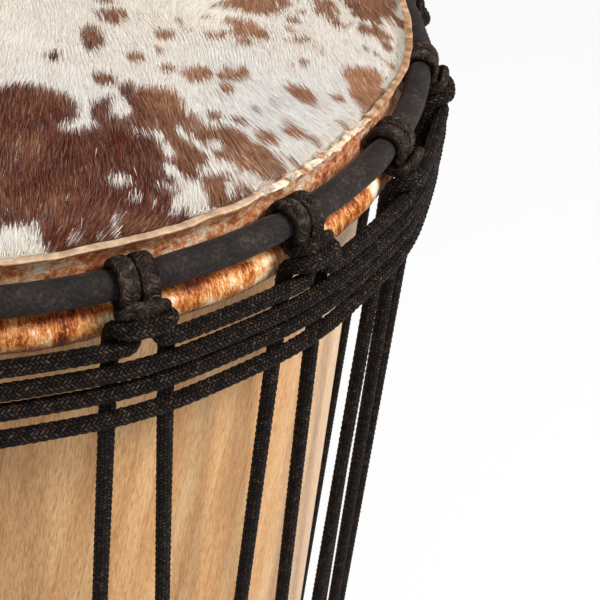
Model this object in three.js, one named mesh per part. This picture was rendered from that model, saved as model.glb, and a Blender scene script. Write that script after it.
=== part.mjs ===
// Dunun: a West African rope-tuned drum with a hair-on cowhide head at each end.
// Millimetres, +Z up along the drum's axis, origin at the centre of the base.
import * as THREE from "three";

// Wooden shell
const shellDiameter = 300;
const shellHeight = 520;
const shellWall = 13;
const edgeRounding = 4;
const innerChamfer = 6;

// Hide, steel rings, cloth and rope
const hideThickness = 2.5;
const fleshBarDiameter = 6;
const crownBarDiameter = 6;
const clothThickness = 0.6;
const ropeDiameter = 5;
const seatGap = 0.3;

// Where the hide is squeezed or trimmed
const pressedRopeThickness = 2.7;
const pressedRopeWidth = 5.6;
const collarRise = 10.1;
const collarLean = 3.7;
const cutEdgeWidth = 3;
const headBelowCollar = 1.2;

// Lacing
const hitchCount = 19;
const firstHitchDegrees = 0.6;
const rearHitch = 5;
const linkReach = 4.6;
const legReach = 2.4;
const crossbarReach = 4.6;
const crossbarBulge = 2.8;
const bulgeWidth = 3.8;
const bulgeLift = 0.7;
const crossbarThickness = 3;
const crossbarWidth = 4.4;
const verticalReach = 8;
const overBulge = 1.2;
const barReach = 5;

// Spare rope wound round the verticals
const windingTurns = 3;
const windingDrop = 5.7;
const windingPitch = 4.2;
const windingSpread = 1.3;

// Knots
const knotTurnThickness = 3.8;
const knotPitch = 5.4;
const loopKnotTurns = 3;
const endKnotTurns = 2;
const tailLength = 12;

// Facets
const facetsPerHitch = 2;
const barSides = 6;
const ropeSides = 5;
const knotSteps = 8;

const shellRadius = shellDiameter / 2;
const ropeRadius = ropeDiameter / 2;
const pressedHalf = pressedRopeThickness / 2;
const fleshBarRadius = fleshBarDiameter / 2;
const crownBarRadius = crownBarDiameter / 2;
const facetCount = hitchCount * facetsPerHitch;
const facetAngle = (2 * Math.PI) / facetCount;
const hitchAngle = (2 * Math.PI) / hitchCount;
const firstHitch = THREE.MathUtils.degToRad(firstHitchDegrees);
// A facet's middle lies at its stated radius, and its corners stand out by this factor.
const cornerFactor = 1 / Math.cos(facetAngle / 2);
// A bar's flats stay a full gap away from what wraps it.
const flatFactor = 1 / Math.cos(Math.PI / barSides);
const barSeat = seatGap * flatFactor;

// From the shell outwards: skirt, collar, the rope squeezed behind the ring, the ring.
const skirtInner = shellRadius + seatGap;
const skirtOuter = skirtInner + hideThickness;
const collarInner = skirtOuter + seatGap;
const collarOuter = collarInner + hideThickness;
const sleeveInner = crownBarRadius + barSeat;
const sleeveOuter = sleeveInner + clothThickness;
const crownRadius = collarOuter + seatGap + pressedRopeThickness + seatGap + sleeveOuter;
const ropeRoundRing = sleeveOuter + barSeat + pressedHalf;
const foldInner = fleshBarRadius + barSeat;
const foldOuter = foldInner + hideThickness;
const fleshRadius = skirtOuter + seatGap + foldOuter;
const fleshDrop = sleeveOuter + seatGap + pressedRopeThickness + seatGap + foldOuter;
const verticalRadius = fleshRadius + foldOuter + seatGap + ropeRadius;
const windingRadius = verticalRadius + ropeDiameter + seatGap;
const linkRadius = windingRadius;
const turnSpread = (pressedRopeWidth + seatGap) / 2;
const knotHalf = knotTurnThickness / 2;
const knotRadius = (ropeRadius + seatGap + knotHalf) / Math.cos(Math.PI / knotSteps);

// Heights. Each ring plane holds the centre of a crown ring.
const headFaceRise = collarRise - headBelowCollar;
const shellRise = headFaceRise - hideThickness - seatGap;
const bottomPlane = collarRise;
const shellFoot = bottomPlane - shellRise;
const topPlane = shellFoot + shellHeight - shellRise;

const ends = [
  { name: "top", plane: topPlane, out: 1, turn: firstHitch },
  { name: "bottom", plane: bottomPlane, out: -1, turn: firstHitch + hitchAngle / 2 },
];
const [topEnd, bottomEnd] = ends;

const colour = {
  wood: 0xd9b48a,
  hide: 0xc9a98c,
  steel: 0x8f9296,
  cloth: 0x2c2b2e,
  rope: 0x231f1d,
};
const finish = {
  wood: () => new THREE.MeshStandardMaterial({ color: colour.wood, roughness: 0.7 }),
  hide: () => new THREE.MeshStandardMaterial({ color: colour.hide, roughness: 0.85 }),
  steel: () => new THREE.MeshStandardMaterial({ color: colour.steel, roughness: 0.4, metalness: 1 }),
  cloth: () => new THREE.MeshStandardMaterial({ color: colour.cloth, roughness: 0.95 }),
  rope: () => new THREE.MeshStandardMaterial({ color: colour.rope, roughness: 0.9 }),
};

const drum = new THREE.Group();

function addPiece(name, geometry, material) {
  const mesh = new THREE.Mesh(geometry, material);
  mesh.name = name;
  drum.add(mesh);
  return mesh;
}

// Turned pieces. An outline is a list of [radius, height] that runs anticlockwise.
function turned(outline) {
  const points = outline.map(([radius, height]) => new THREE.Vector2(radius * cornerFactor, height));
  const geometry = new THREE.LatheGeometry(points, facetCount, Math.PI / 2);
  geometry.rotateX(Math.PI / 2);
  geometry.rotateZ(firstHitch + facetAngle / 2);
  return geometry;
}

// The same outline, seen from one end: heights count outwards from that end's ring plane.
function atEnd(end, outline) {
  const placed = outline.map(([radius, rise]) => [radius, end.plane + end.out * rise]);
  return end.out > 0 ? placed : placed.reverse();
}

function arc(centreRadius, centreRise, radius, fromDegrees, toDegrees, steps) {
  return Array.from({ length: steps + 1 }, (_, i) => {
    const angle = THREE.MathUtils.degToRad(fromDegrees + ((toDegrees - fromDegrees) * i) / steps);
    return [centreRadius + radius * Math.cos(angle), centreRise + radius * Math.sin(angle)];
  });
}

function makeShell() {
  const outer = shellRadius;
  const inner = shellRadius - shellWall;
  const edge = (end) => {
    const centre = shellRise - edgeRounding;
    return atEnd(end, [
      ...arc(outer - edgeRounding, centre, edgeRounding, 0, 90, 2),
      [inner + innerChamfer / 2, shellRise],
      [inner, shellRise - innerChamfer],
    ]);
  };
  const outline = [...edge(topEnd), ...edge(bottomEnd)];
  outline.push(outline[0]);
  addPiece("shell", turned(outline), finish.wood());
}

// The hide crosses the drum, goes down the shell, round the flesh ring and up as a collar.
function makeHead(end) {
  const bendCentre = shellRadius - edgeRounding;
  const bendRise = shellRise - edgeRounding;
  const innerBend = edgeRounding + seatGap;
  const outerBend = innerBend + hideThickness;
  const skirtFoot = -fleshDrop - hideThickness / 2;
  const collarFoot = -sleeveOuter;
  const collarTop = collarOuter + collarLean;
  const leanStart = collarRise / 4;
  const neck = [collarOuter + seatGap, -fleshDrop + foldOuter + hideThickness / 3];
  const neckInside = neck.map((place) => place - hideThickness * Math.SQRT1_2);
  const outline = [
    [0, headFaceRise - hideThickness],
    ...arc(bendCentre, bendRise, innerBend, 90, 0, 2),
    [skirtInner, skirtFoot],
    ...arc(fleshRadius, -fleshDrop, foldOuter, 240, 420, 3),
    neck,
    [collarOuter, collarFoot],
    [collarOuter, leanStart],
    [collarTop, collarRise],
    [collarTop - cutEdgeWidth, collarRise],
    [collarInner, leanStart],
    [collarInner, neckInside[1] + hideThickness],
    neckInside,
    ...arc(fleshRadius, -fleshDrop, foldInner, 120, -120, 4),
    [skirtOuter, -fleshDrop],
    ...arc(bendCentre, bendRise, outerBend, 0, 90, 2),
    [0, headFaceRise],
  ];
  addPiece(`${end.name}_head`, turned(atEnd(end, outline)), finish.hide());
}

function closedRound(centreRadius, centreRise, radius, fromDegrees) {
  const outline = arc(centreRadius, centreRise, radius, fromDegrees, fromDegrees + 360, barSides);
  outline[barSides] = outline[0];
  return outline;
}

function makeRings(end) {
  const flesh = closedRound(fleshRadius, -fleshDrop, fleshBarRadius, 0);
  const crown = closedRound(crownRadius, 0, crownBarRadius, 30);
  addPiece(`${end.name}_flesh_ring`, turned(atEnd(end, flesh)), finish.steel());
  addPiece(`${end.name}_crown_ring`, turned(atEnd(end, crown)), finish.steel());
}

// The cloth sleeve goes all round the crown ring, with its open seam on the hidden side.
function makeSleeve(end) {
  const seam = (radius) => [
    crownRadius - radius / flatFactor,
    seatGap - sleeveInner * Math.sin(Math.PI / barSides),
  ];
  const outline = [
    ...arc(crownRadius, 0, sleeveOuter, -150, 150, 5),
    seam(sleeveOuter),
    seam(sleeveInner),
    ...arc(crownRadius, 0, sleeveInner, 150, -150, 5),
  ];
  outline.push(outline[0]);
  addPiece(`${end.name}_crown_sleeve`, turned(atEnd(end, outline)), finish.cloth());
}

const up = new THREE.Vector3(0, 0, 1);

function outwards(angle) {
  return new THREE.Vector3(Math.cos(angle), Math.sin(angle), 0);
}

// A place beside a hitch: along is measured round the drum, radius outwards, rise towards the end.
function beside(end, angle, along, radius, rise) {
  const radial = outwards(angle);
  const round = up.clone().cross(radial);
  return radial
    .multiplyScalar(radius)
    .addScaledVector(round, along)
    .setZ(end.plane + end.out * rise);
}

// A direction in the plane of a hitch, turned from outwards towards the end.
function facing(end, angle, degrees) {
  const turn = THREE.MathUtils.degToRad(degrees);
  return outwards(angle).multiplyScalar(Math.cos(turn)).addScaledVector(up, end.out * Math.sin(turn));
}

// A rope is a list of stations: a point, the way its thickness points, and half its two sizes.
function station(at, face, halfThickness = ropeRadius, halfWidth = halfThickness) {
  return { at, face, halfThickness, halfWidth };
}

function ropeBody(stations, sides, closed) {
  const last = stations.length - 1;
  const positions = stations.flatMap(({ at, face, halfThickness, halfWidth }, i) => {
    const before = stations[i > 0 ? i - 1 : closed ? last : i];
    const after = stations[i < last ? i + 1 : closed ? 0 : i];
    const inwards = at.clone().sub(before.at).normalize();
    const onwards = after.at.clone().sub(at).normalize();
    const along = inwards.add(onwards).normalize();
    const across = along.clone().cross(face).normalize();
    const thick = across.clone().cross(along);
    return Array.from({ length: sides }, (_, j) => {
      const angle = (2 * Math.PI * j) / sides;
      return at
        .clone()
        .addScaledVector(thick, halfThickness * Math.cos(angle))
        .addScaledVector(across, halfWidth * Math.sin(angle))
        .toArray();
    });
  });
  const index = [];
  const spans = closed ? stations.length : last;
  for (let i = 0; i < spans; i++) {
    const here = i * sides;
    const there = ((i + 1) % stations.length) * sides;
    for (let j = 0; j < sides; j++) {
      const next = (j + 1) % sides;
      index.push(here + j, here + next, there + next);
      index.push(here + j, there + next, there + j);
    }
  }
  for (let j = 1; !closed && j < sides - 1; j++) {
    index.push(0, j + 1, j);
    index.push(last * sides, last * sides + j, last * sides + j + 1);
  }
  const geometry = new THREE.BufferGeometry();
  geometry.setAttribute("position", new THREE.Float32BufferAttribute(positions.flat(), 3));
  geometry.setIndex(index);
  return geometry;
}

// A knot is a run of pressed turns round an axis, from the side that start points to.
function knotTurns(centre, axis, start, turns, lead) {
  const across = axis.clone().cross(start);
  const steps = turns * knotSteps;
  return Array.from({ length: steps + 1 }, (_, i) => {
    const angle = (2 * Math.PI * i) / knotSteps;
    const face = start.clone().multiplyScalar(Math.cos(angle)).addScaledVector(across, Math.sin(angle));
    const at = centre
      .clone()
      .addScaledVector(axis, lead + (knotPitch * i) / knotSteps)
      .addScaledVector(face, knotRadius);
    return station(at, face, knotHalf, ropeRadius);
  });
}

// A cow hitch: the two legs go up the ring's front and over it, and a crossbar holds them from outside.
function loopHitch(end, angle) {
  const bulgeRadius = linkRadius - ropeRadius - pressedHalf - seatGap;
  const barRadius = crownRadius + ropeRoundRing + pressedHalf + seatGap + crossbarThickness / 2;
  const onRing = (along, degrees, halfWidth = pressedRopeWidth / 2) => {
    const turn = THREE.MathUtils.degToRad(degrees);
    const radius = crownRadius + ropeRoundRing * Math.cos(turn);
    const at = beside(end, angle, along, radius, ropeRoundRing * Math.sin(turn));
    return station(at, facing(end, angle, degrees), pressedHalf, halfWidth);
  };
  const half = (side) => {
    const at = (along, radius, rise, degrees, ...sizes) =>
      station(beside(end, angle, side * along, radius, rise), facing(end, angle, degrees), ...sizes);
    const thin = crossbarThickness / 2;
    const bulge = crossbarReach + crossbarBulge;
    return [
      at(linkReach, linkRadius, -fleshDrop, 180),
      onRing(side * legReach, -30, crossbarWidth / 2),
      ...[30, 90, 150, 210, 270].map((degrees) => onRing(side * turnSpread, degrees)),
      at(bulge, bulgeRadius, -ropeRoundRing + bulgeLift, 310, thin, bulgeWidth / 2),
      at(crossbarReach, barRadius, -pressedRopeThickness, 350, thin, crossbarWidth / 2),
    ];
  };
  return [...half(-1), ...half(1).reverse()];
}

function makeLoopRope(end) {
  const stations = [];
  for (let i = 0; i < hitchCount; i++) {
    const angle = end.turn + i * hitchAngle;
    stations.push(...loopHitch(end, angle));
    if (i === rearHitch) {
      const middle = angle + hitchAngle / 2;
      const at = beside(end, middle, 0, linkRadius, -fleshDrop);
      stations.push(station(at, facing(end, middle, 180)));
      const round = up.clone().cross(outwards(middle));
      const lead = (-loopKnotTurns * knotPitch) / 2;
      const turns = knotTurns(at, round, outwards(middle), loopKnotTurns, lead);
      addPiece(`${end.name}_loop_knot`, ropeBody(turns, ropeSides, false), finish.rope());
    }
  }
  addPiece(`${end.name}_loop_rope`, ropeBody(stations, ropeSides, true), finish.rope());
}

// The tension rope comes up behind a link, over it, across the two legs and down behind again.
function tensionSide(end, angle, side) {
  const behindShare = 0.2;
  const overShare = 1.04;
  const overInsetShare = 0.52;
  const barShare = 1.14;
  const at = (along, radius, share) =>
    beside(end, angle, side * along, radius, -fleshDrop + ropeDiameter * share);
  return [
    station(at(verticalReach, verticalRadius, behindShare), facing(end, angle, 180)),
    station(
      at(verticalReach + overBulge, linkRadius - ropeDiameter * overInsetShare, overShare),
      facing(end, angle, 110),
    ),
    station(at(barReach, linkRadius + ropeRadius, barShare), facing(end, angle, 45)),
  ];
}

const rearAngle = topEnd.turn + rearHitch * hitchAngle;

function windingRise(turns) {
  return -fleshDrop - windingDrop - windingPitch * turns - windingSpread * turns ** 2;
}

// From the last bar the tension rope swings out over the link and down to the winding.
function exitRoute() {
  const cling = ropeDiameter + seatGap;
  const round = (degreesRound, degrees, lift) => {
    const angle = rearAngle - THREE.MathUtils.degToRad(degreesRound);
    const turn = THREE.MathUtils.degToRad(degrees);
    const radius = linkRadius + cling * Math.cos(turn);
    const rise = -fleshDrop + cling * Math.sin(turn) - lift;
    return station(beside(topEnd, angle, 0, radius, rise), facing(topEnd, angle, degrees));
  };
  return [round(3.4, 35, 0), round(5.6, -15, 0), round(8.2, -55, seatGap)];
}

// The spare rope lies on the verticals, so it bends at them and runs straight between.
function windingStations() {
  const restReach = verticalReach + ropeRadius / 2;
  const offset = Math.atan2(restReach, windingRadius);
  const stations = [];
  for (let i = 1; i < windingTurns * hitchCount; i++)
    for (const side of [1, -1]) {
      const angle = rearAngle - i * hitchAngle;
      const turns = (i * hitchAngle - side * offset) / (2 * Math.PI);
      const at = beside(topEnd, angle, side * restReach, windingRadius, windingRise(turns));
      stations.push(station(at, outwards(angle)));
    }
  return stations;
}

// Where the tension rope has become the spare rope, so many millimetres past the end of its exit.
function joinAt(run) {
  const start = exitRoute().at(-1).at;
  const way = windingStations()[0].at.clone().sub(start).normalize();
  return station(start.clone().addScaledVector(way, run), outwards(rearAngle));
}

function makeTensionRope() {
  const firstAngle = rearAngle - hitchAngle / 2;
  const knotRise = -fleshDrop - foldOuter - knotRadius - knotPitch * endKnotTurns;
  const endAt = (rise) => beside(bottomEnd, firstAngle, verticalReach, verticalRadius, rise);
  const inwards = facing(bottomEnd, firstAngle, 180);
  const stations = [station(endAt(knotRise - knotPitch), inwards)];
  for (let i = 0; i < hitchCount; i++) {
    const low = firstAngle - i * hitchAngle;
    const high = rearAngle - (i + 1) * hitchAngle;
    stations.push(...tensionSide(bottomEnd, low, 1), ...tensionSide(bottomEnd, low, -1).reverse());
    stations.push(...tensionSide(topEnd, high, 1), ...tensionSide(topEnd, high, -1).reverse());
  }
  stations.splice(-2, 2, ...exitRoute(), joinAt(ropeDiameter));
  addPiece("tension_rope", ropeBody(stations, ropeSides, false), finish.rope());
  const back = up.clone().negate();
  const turns = knotTurns(endAt(knotRise), back, outwards(firstAngle), endKnotTurns, 0);
  addPiece("tension_rope_knot", ropeBody(turns, ropeSides, false), finish.rope());
}

function makeSpareRope() {
  const stations = [joinAt(ropeDiameter + seatGap), ...windingStations()];
  const tied = new THREE.Vector3().lerpVectors(
    beside(topEnd, rearAngle, verticalReach, verticalRadius, -fleshDrop),
    beside(bottomEnd, rearAngle + hitchAngle / 2, -verticalReach, verticalRadius, -fleshDrop),
    -windingRise(windingTurns) / (topPlane - bottomPlane),
  );
  const down = up.clone().negate();
  const turns = knotTurns(tied, down, outwards(rearAngle), endKnotTurns, knotPitch);
  const end = turns.at(-1).at.clone().addScaledVector(down, tailLength);
  end.addScaledVector(outwards(rearAngle).cross(up), tailLength / 2);
  stations.push(...turns, station(end, outwards(rearAngle)));
  addPiece("spare_rope", ropeBody(stations, ropeSides, false), finish.rope());
  const gap = leastSelfGap(stations, 2 * hitchCount - 4);
  console.log(`spare rope's least gap to itself: ${gap.toFixed(2)} mm`);
}

// The least clear distance between stretches of a rope that lie at least so many stations apart.
function leastSelfGap(stations, apart) {
  const samples = 6;
  const points = stations.slice(1).flatMap((here, i) =>
    Array.from({ length: samples }, (_, j) => ({
      step: i,
      at: new THREE.Vector3().lerpVectors(stations[i].at, here.at, j / samples),
    })),
  );
  let least = Infinity;
  points.forEach((a, i) => {
    for (let j = i + 1; j < points.length; j++)
      if (points[j].step - a.step >= apart) least = Math.min(least, a.at.distanceTo(points[j].at));
  });
  return least - ropeDiameter;
}

makeShell();
for (const end of ends) {
  makeHead(end);
  makeRings(end);
  makeSleeve(end);
  makeLoopRope(end);
}
makeTensionRope();
makeSpareRope();

export default drum;
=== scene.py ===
"""The dunun's looks: a rope-tuned drum with a hair-on cowhide head at each end.

Lengths are millimetres until a mesh is made, and then metres. An end's heights are rises: they count
outwards from the plane of that end's crown ring.
"""
import collections
import itertools
import math

import bpy
import numpy as np
from mathutils import Matrix, Vector


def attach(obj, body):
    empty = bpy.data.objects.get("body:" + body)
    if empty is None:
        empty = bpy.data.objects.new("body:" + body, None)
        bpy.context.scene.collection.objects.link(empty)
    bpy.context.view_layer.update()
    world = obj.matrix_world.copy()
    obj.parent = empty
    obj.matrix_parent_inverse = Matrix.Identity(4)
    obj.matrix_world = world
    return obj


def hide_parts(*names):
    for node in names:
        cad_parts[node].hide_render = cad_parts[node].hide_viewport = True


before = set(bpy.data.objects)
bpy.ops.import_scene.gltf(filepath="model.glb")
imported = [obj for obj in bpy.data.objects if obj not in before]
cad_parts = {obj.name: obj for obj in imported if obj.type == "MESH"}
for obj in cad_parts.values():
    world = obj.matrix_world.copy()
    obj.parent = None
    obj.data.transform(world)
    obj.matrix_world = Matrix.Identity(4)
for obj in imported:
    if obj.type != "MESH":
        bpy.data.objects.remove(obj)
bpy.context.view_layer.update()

MM = 0.001
TURN = 2 * math.pi

# The drum's own sizes, as in its source
SHELL_RADIUS = 150.0
SHELL_WALL = 13.0
EDGE_ROUNDING = 4.0
HIDE = 2.5
ROPE_RADIUS = 2.5
GAP = 0.3
FLESH_RADIUS = 158.946
FLESH_DROP = 13.093
FOLD_INNER = 3.346
FOLD_OUTER = 5.846
CROWN_RADIUS = 162.846
SLEEVE_RADIUS = 3.946
ROUND_RING = 5.643
COLLAR_OUTER = 155.6
COLLAR_RISE = 10.1
COLLAR_LEAN = 3.7
CUT_EDGE = 3.0
HEAD_RISE = 8.9
SHELL_RISE = 6.1
LINK_RADIUS = 172.893
VERTICAL_RADIUS = 167.593
PRESSED_HALF = 1.35
PRESSED_WIDTH = 2.8
TURN_SPREAD = 2.85
BOTTOM_PLANE = 10.1
TOP_PLANE = 517.9
# The middle radius of the collar and of the fold, where noise is laid round the drum
COLLAR_MIDDLE = 157
FOLD_MIDDLE = 159

# The lacing
HITCHES = 19
HITCH_ANGLE = TURN / HITCHES
FIRST_HITCH = math.radians(0.6)
REAR_HITCH = 5
WINDING_TURNS = 3
WINDING_DROP = 5.7
WINDING_PITCH = 4.2
WINDING_SPREAD = 1.3
VERTICAL_REACH = 8.0

# Knots
KNOT_PITCH = 5.4
KNOT_HALF = 1.9
KNOT_RADIUS = 5.087
TAIL = 12.0


# One end: its name, its crown ring's height, the way out of the drum, its first hitch, its noise
End = collections.namedtuple("End", "name plane out turn seed")
TOP = End("top", TOP_PLANE, 1, FIRST_HITCH, 3)
BOTTOM = End("bottom", BOTTOM_PLANE, -1, FIRST_HITCH + HITCH_ANGLE / 2, 8)
REAR_ANGLE = TOP.turn + REAR_HITCH * HITCH_ANGLE


# Small tools

def grain(points, size, seed):
    """Smooth noise from -1 to 1 at points, with bumps about size across."""
    points = np.atleast_2d(points) / size + seed * 7.31
    cell = np.floor(points).astype(np.int64)
    part = points - cell
    part = part * part * (3 - 2 * part)
    primes = np.array([73856093, 19349663, 83492791][: points.shape[1]])
    total = np.zeros(len(points))
    for corner in itertools.product((0, 1), repeat=points.shape[1]):
        corner = np.array(corner)
        mixed = ((cell + corner) * primes).sum(1) + seed * 2654435761
        mixed = (mixed ^ (mixed >> 15)) * 2246822519 & 0xFFFFFFFF
        mixed = (mixed ^ (mixed >> 13)) * 3266489917 & 0xFFFFFFFF
        value = (mixed ^ (mixed >> 16)) / 2147483648.0 - 1
        total += value * np.where(corner, part, 1 - part).prod(1)
    return total


def smooth_step(low, high, value):
    share = np.clip((value - low) / (high - low), 0, 1)
    return share * share * (3 - 2 * share)


def unit(vectors):
    return vectors / np.linalg.norm(vectors, axis=-1, keepdims=True)


def srgb(code):
    """A linear colour from an sRGB hex value."""
    parts = [int(code[i : i + 2], 16) / 255 for i in (1, 3, 5)]
    return [c / 12.92 if c <= 0.04045 else ((c + 0.055) / 1.055) ** 2.4 for c in parts] + [1.0]


def add(tree, kind, inputs=None, out=0, stops=None, **settings):
    """One node with its settings. An input is a number, a colour or another node's socket.

    It gives back the output that out names, or the node where it has none.
    """
    node = tree.nodes.new("ShaderNode" + kind)
    for name, value in settings.items():
        setattr(node, name, value)
    if stops:
        elements = node.color_ramp.elements
        while len(elements) < len(stops):
            elements.new(0.5)
        for element, (place, colour) in zip(elements, stops):
            element.position = place
            element.color = srgb(colour)
    for name, value in (inputs or {}).items():
        socket = node.inputs[name]
        if isinstance(value, bpy.types.NodeSocket):
            tree.links.new(value, socket)
        else:
            socket.default_value = value
    return node.outputs[out] if node.outputs else node


def empty_tree(owner):
    """The node tree of a material or a world, with nothing in it."""
    owner.use_nodes = True
    owner.node_tree.nodes.clear()
    return owner.node_tree


def make_material(name, look):
    """A material. look adds its nodes and gives the shader's inputs."""
    material = bpy.data.materials.new(name)
    tree = empty_tree(material)
    shader = add(tree, "BsdfPrincipled", look(tree))
    add(tree, "OutputMaterial", {"Surface": shader})
    return material


def make_mesh(name, points, faces, material, uv=None, values=None, smooth=True):
    """A piece from points in millimetres. uv is per face corner, and values are numbers per point."""
    mesh = bpy.data.meshes.new(name)
    points = np.asarray(points, float)
    faces = np.asarray(faces)
    sides = faces.shape[1]
    mesh.vertices.add(len(points))
    mesh.vertices.foreach_set("co", (points * MM).astype(np.float32).ravel())
    mesh.loops.add(faces.size)
    mesh.loops.foreach_set("vertex_index", faces.astype(np.int32).ravel())
    mesh.polygons.add(len(faces))
    mesh.polygons.foreach_set("loop_start", (np.arange(len(faces)) * sides).astype(np.int32))
    if uv is not None:
        layer = mesh.uv_layers.new(name="lie")
        layer.uv.foreach_set("vector", np.asarray(uv, np.float32).ravel())
    for key, value in (values or {}).items():
        store(mesh, key, value)
    mesh.update(calc_edges=True)
    mesh.polygons.foreach_set("use_smooth", np.full(len(faces), smooth))
    mesh.materials.append(material)
    piece = bpy.data.objects.new(name, mesh)
    bpy.context.scene.collection.objects.link(piece)
    return piece


def store(mesh, key, value):
    """A number at each point of a mesh, for its material."""
    attribute = mesh.attributes.new(key, "FLOAT", "POINT")
    attribute.data.foreach_set("value", np.asarray(value, np.float32))


def keep(piece, slot, *nodes):
    """The piece rides on the drum and stands for its nodes."""
    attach(piece, "root")
    if nodes:
        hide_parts(*nodes)
    return piece


# Camera: close over the near rim, tilted, as in the photograph

CAMERA_AT = np.array([0.0, -422.0, TOP_PLANE + 208.0])
PITCH = math.radians(38.2)
YAW = math.radians(18.3)
ROLL = math.radians(7.0)
FOCAL_SHARE = 1305 / 600


def place_camera():
    level_share = math.cos(PITCH)
    look = np.array([math.sin(YAW) * level_share, math.cos(YAW) * level_share, -math.sin(PITCH)])
    level = np.array([math.cos(YAW), -math.sin(YAW), 0])
    above = np.cross(level, look)
    right = math.cos(ROLL) * level + math.sin(ROLL) * above
    top = -math.sin(ROLL) * level + math.cos(ROLL) * above
    camera = bpy.data.objects.new("camera", bpy.data.cameras.new("camera"))
    camera.data.sensor_width = 36
    camera.data.lens = 36 * FOCAL_SHARE
    camera.data.clip_start = 0.01
    turn = Matrix([right, top, -look]).transposed().to_4x4()
    camera.matrix_world = Matrix.Translation(Vector(CAMERA_AT * MM)) @ turn
    bpy.context.scene.collection.objects.link(camera)
    bpy.context.scene.camera = camera


place_camera()


# Materials

# How far the wood's grain leans, in degrees
GRAIN_LEAN = 8


def scale_for(size):
    """The scale of a noise whose bumps are about size millimetres across."""
    return 1 / (size * MM)


def wander(tree, at, place, size, detail, reach):
    """The places in at, moved about by the noise that there is at place."""
    values = {"Vector": place, "Scale": scale_for(size), "Detail": detail}
    noise = add(tree, "TexNoise", values, "Color")
    shift = add(tree, "VectorMath", {0: noise, 1: reach}, operation="MULTIPLY")
    return add(tree, "VectorMath", {0: at, 1: shift}, operation="ADD")


def wood_look(tree):
    """Oiled hardwood, turned and sanded: pale tan, with fine streaks that run up the shell."""
    place = add(tree, "TexCoord", out="Object")
    # The grain climbs round the shell, a little to the right of upright.
    height = add(tree, "SeparateXYZ", {"Vector": place}, "Z")
    climb = math.tan(math.radians(GRAIN_LEAN)) / (SHELL_RADIUS * MM)
    turn = add(tree, "Math", {0: height, 1: -climb}, operation="MULTIPLY")
    lean = add(tree, "VectorRotate", {"Vector": place, "Angle": turn}, rotation_type="Z_AXIS")
    bent = wander(tree, lean, lean, 111.111, 2.0, (0.012, 0.012, 0))
    # Growth bands, pores and fibres, and darker streaks, by their width and length in millimetres
    patterns = []
    for start, width, length, detail, roughness in (
        (bent, 9.52381, 142.857, 3.0, 0.5),
        (lean, 0.384615, 4.0, 3.0, 0.7),
        (bent, 2.38095, 142.857, 2.0, 0.5),
    ):
        scales = (scale_for(width), scale_for(width), scale_for(length))
        at = add(tree, "Mapping", {"Vector": start, "Scale": scales})
        values = {"Vector": at, "Scale": 1.0, "Detail": detail, "Roughness": roughness}
        patterns.append(add(tree, "TexNoise", values))
    broad, fine, vein = patterns
    ground, streak, line = [
        add(tree, "ValToRGB", {"Fac": pattern}, stops=stops)
        for pattern, stops in (
            (broad, [(0.28, "#cb985f"), (0.43, "#d9a972"), (0.56, "#e2b781"), (0.72, "#edc898")]),
            (fine, [(0.3, "#ba946c"), (0.42, "#ddc7ae"), (0.53, "#f4eadf"), (0.64, "#ffffff")]),
            (vein, [(0.24, "#b98f6c"), (0.34, "#ebdfd2"), (0.44, "#ffffff")]),
        )
    ]
    # Painted light: the wood is paler towards +x, on the side the key light comes from
    across = add(tree, "SeparateXYZ", {"Vector": place}, "X")
    side = {"Value": across, "From Min": 0.1, "From Max": 0.146, "To Max": 0.85}
    painted_light_right = add(tree, "MapRange", side)
    colour = ground
    for share, other, blend in (
        (painted_light_right, srgb("#f5dec6"), "MIX"),
        (0.85, streak, "MULTIPLY"),
        (0.6, line, "MULTIPLY"),
    ):
        parts = {"Factor": share, 6: colour, 7: other}
        colour = add(tree, "Mix", parts, 2, data_type="RGBA", blend_type=blend)
    rough = add(tree, "MapRange", {"Value": fine, "To Min": 0.62, "To Max": 0.48})
    bump = add(tree, "Bump", {"Height": fine, "Strength": 0.35, "Distance": 0.0004})
    return {"Base Color": colour, "Roughness": rough, "Normal": bump}


def coat_look(tree):
    """Cowhide with its hair on: each hair is white or red-brown, and hairs of one colour differ."""
    share, shade, tone = [
        add(tree, "Attribute", out="Fac", attribute_name=name)
        for name in ("coat", "shade", "tone")
    ]
    cool, warm, dark, light = [
        add(tree, "ValToRGB", {"Fac": shade}, stops=stops)
        for stops in (
            [(0.0, "#aca7a2"), (0.3, "#cfcbc7"), (0.65, "#e4e2df"), (1.0, "#f6f6f4")],
            [(0.0, "#b8a792"), (0.3, "#dacdbb"), (0.65, "#ebe2d4"), (1.0, "#faf5ed")],
            [(0.0, "#1d0803"), (0.35, "#381106"), (0.7, "#582110"), (1.0, "#8c543b")],
            [(0.0, "#7c4526"), (0.35, "#ab7048"), (0.7, "#ca966f"), (1.0, "#ecccae")],
        )
    ]
    white, brown = [
        add(tree, "Mix", {"Factor": tone, 6: first, 7: second}, 2, data_type="RGBA")
        for first, second in ((cool, warm), (dark, light))
    ]
    colour = add(tree, "Mix", {"Factor": share, 6: white, 7: brown}, 2, data_type="RGBA")
    return {"Base Color": colour, "Roughness": 0.5, "Specular IOR Level": 0.1}


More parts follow.
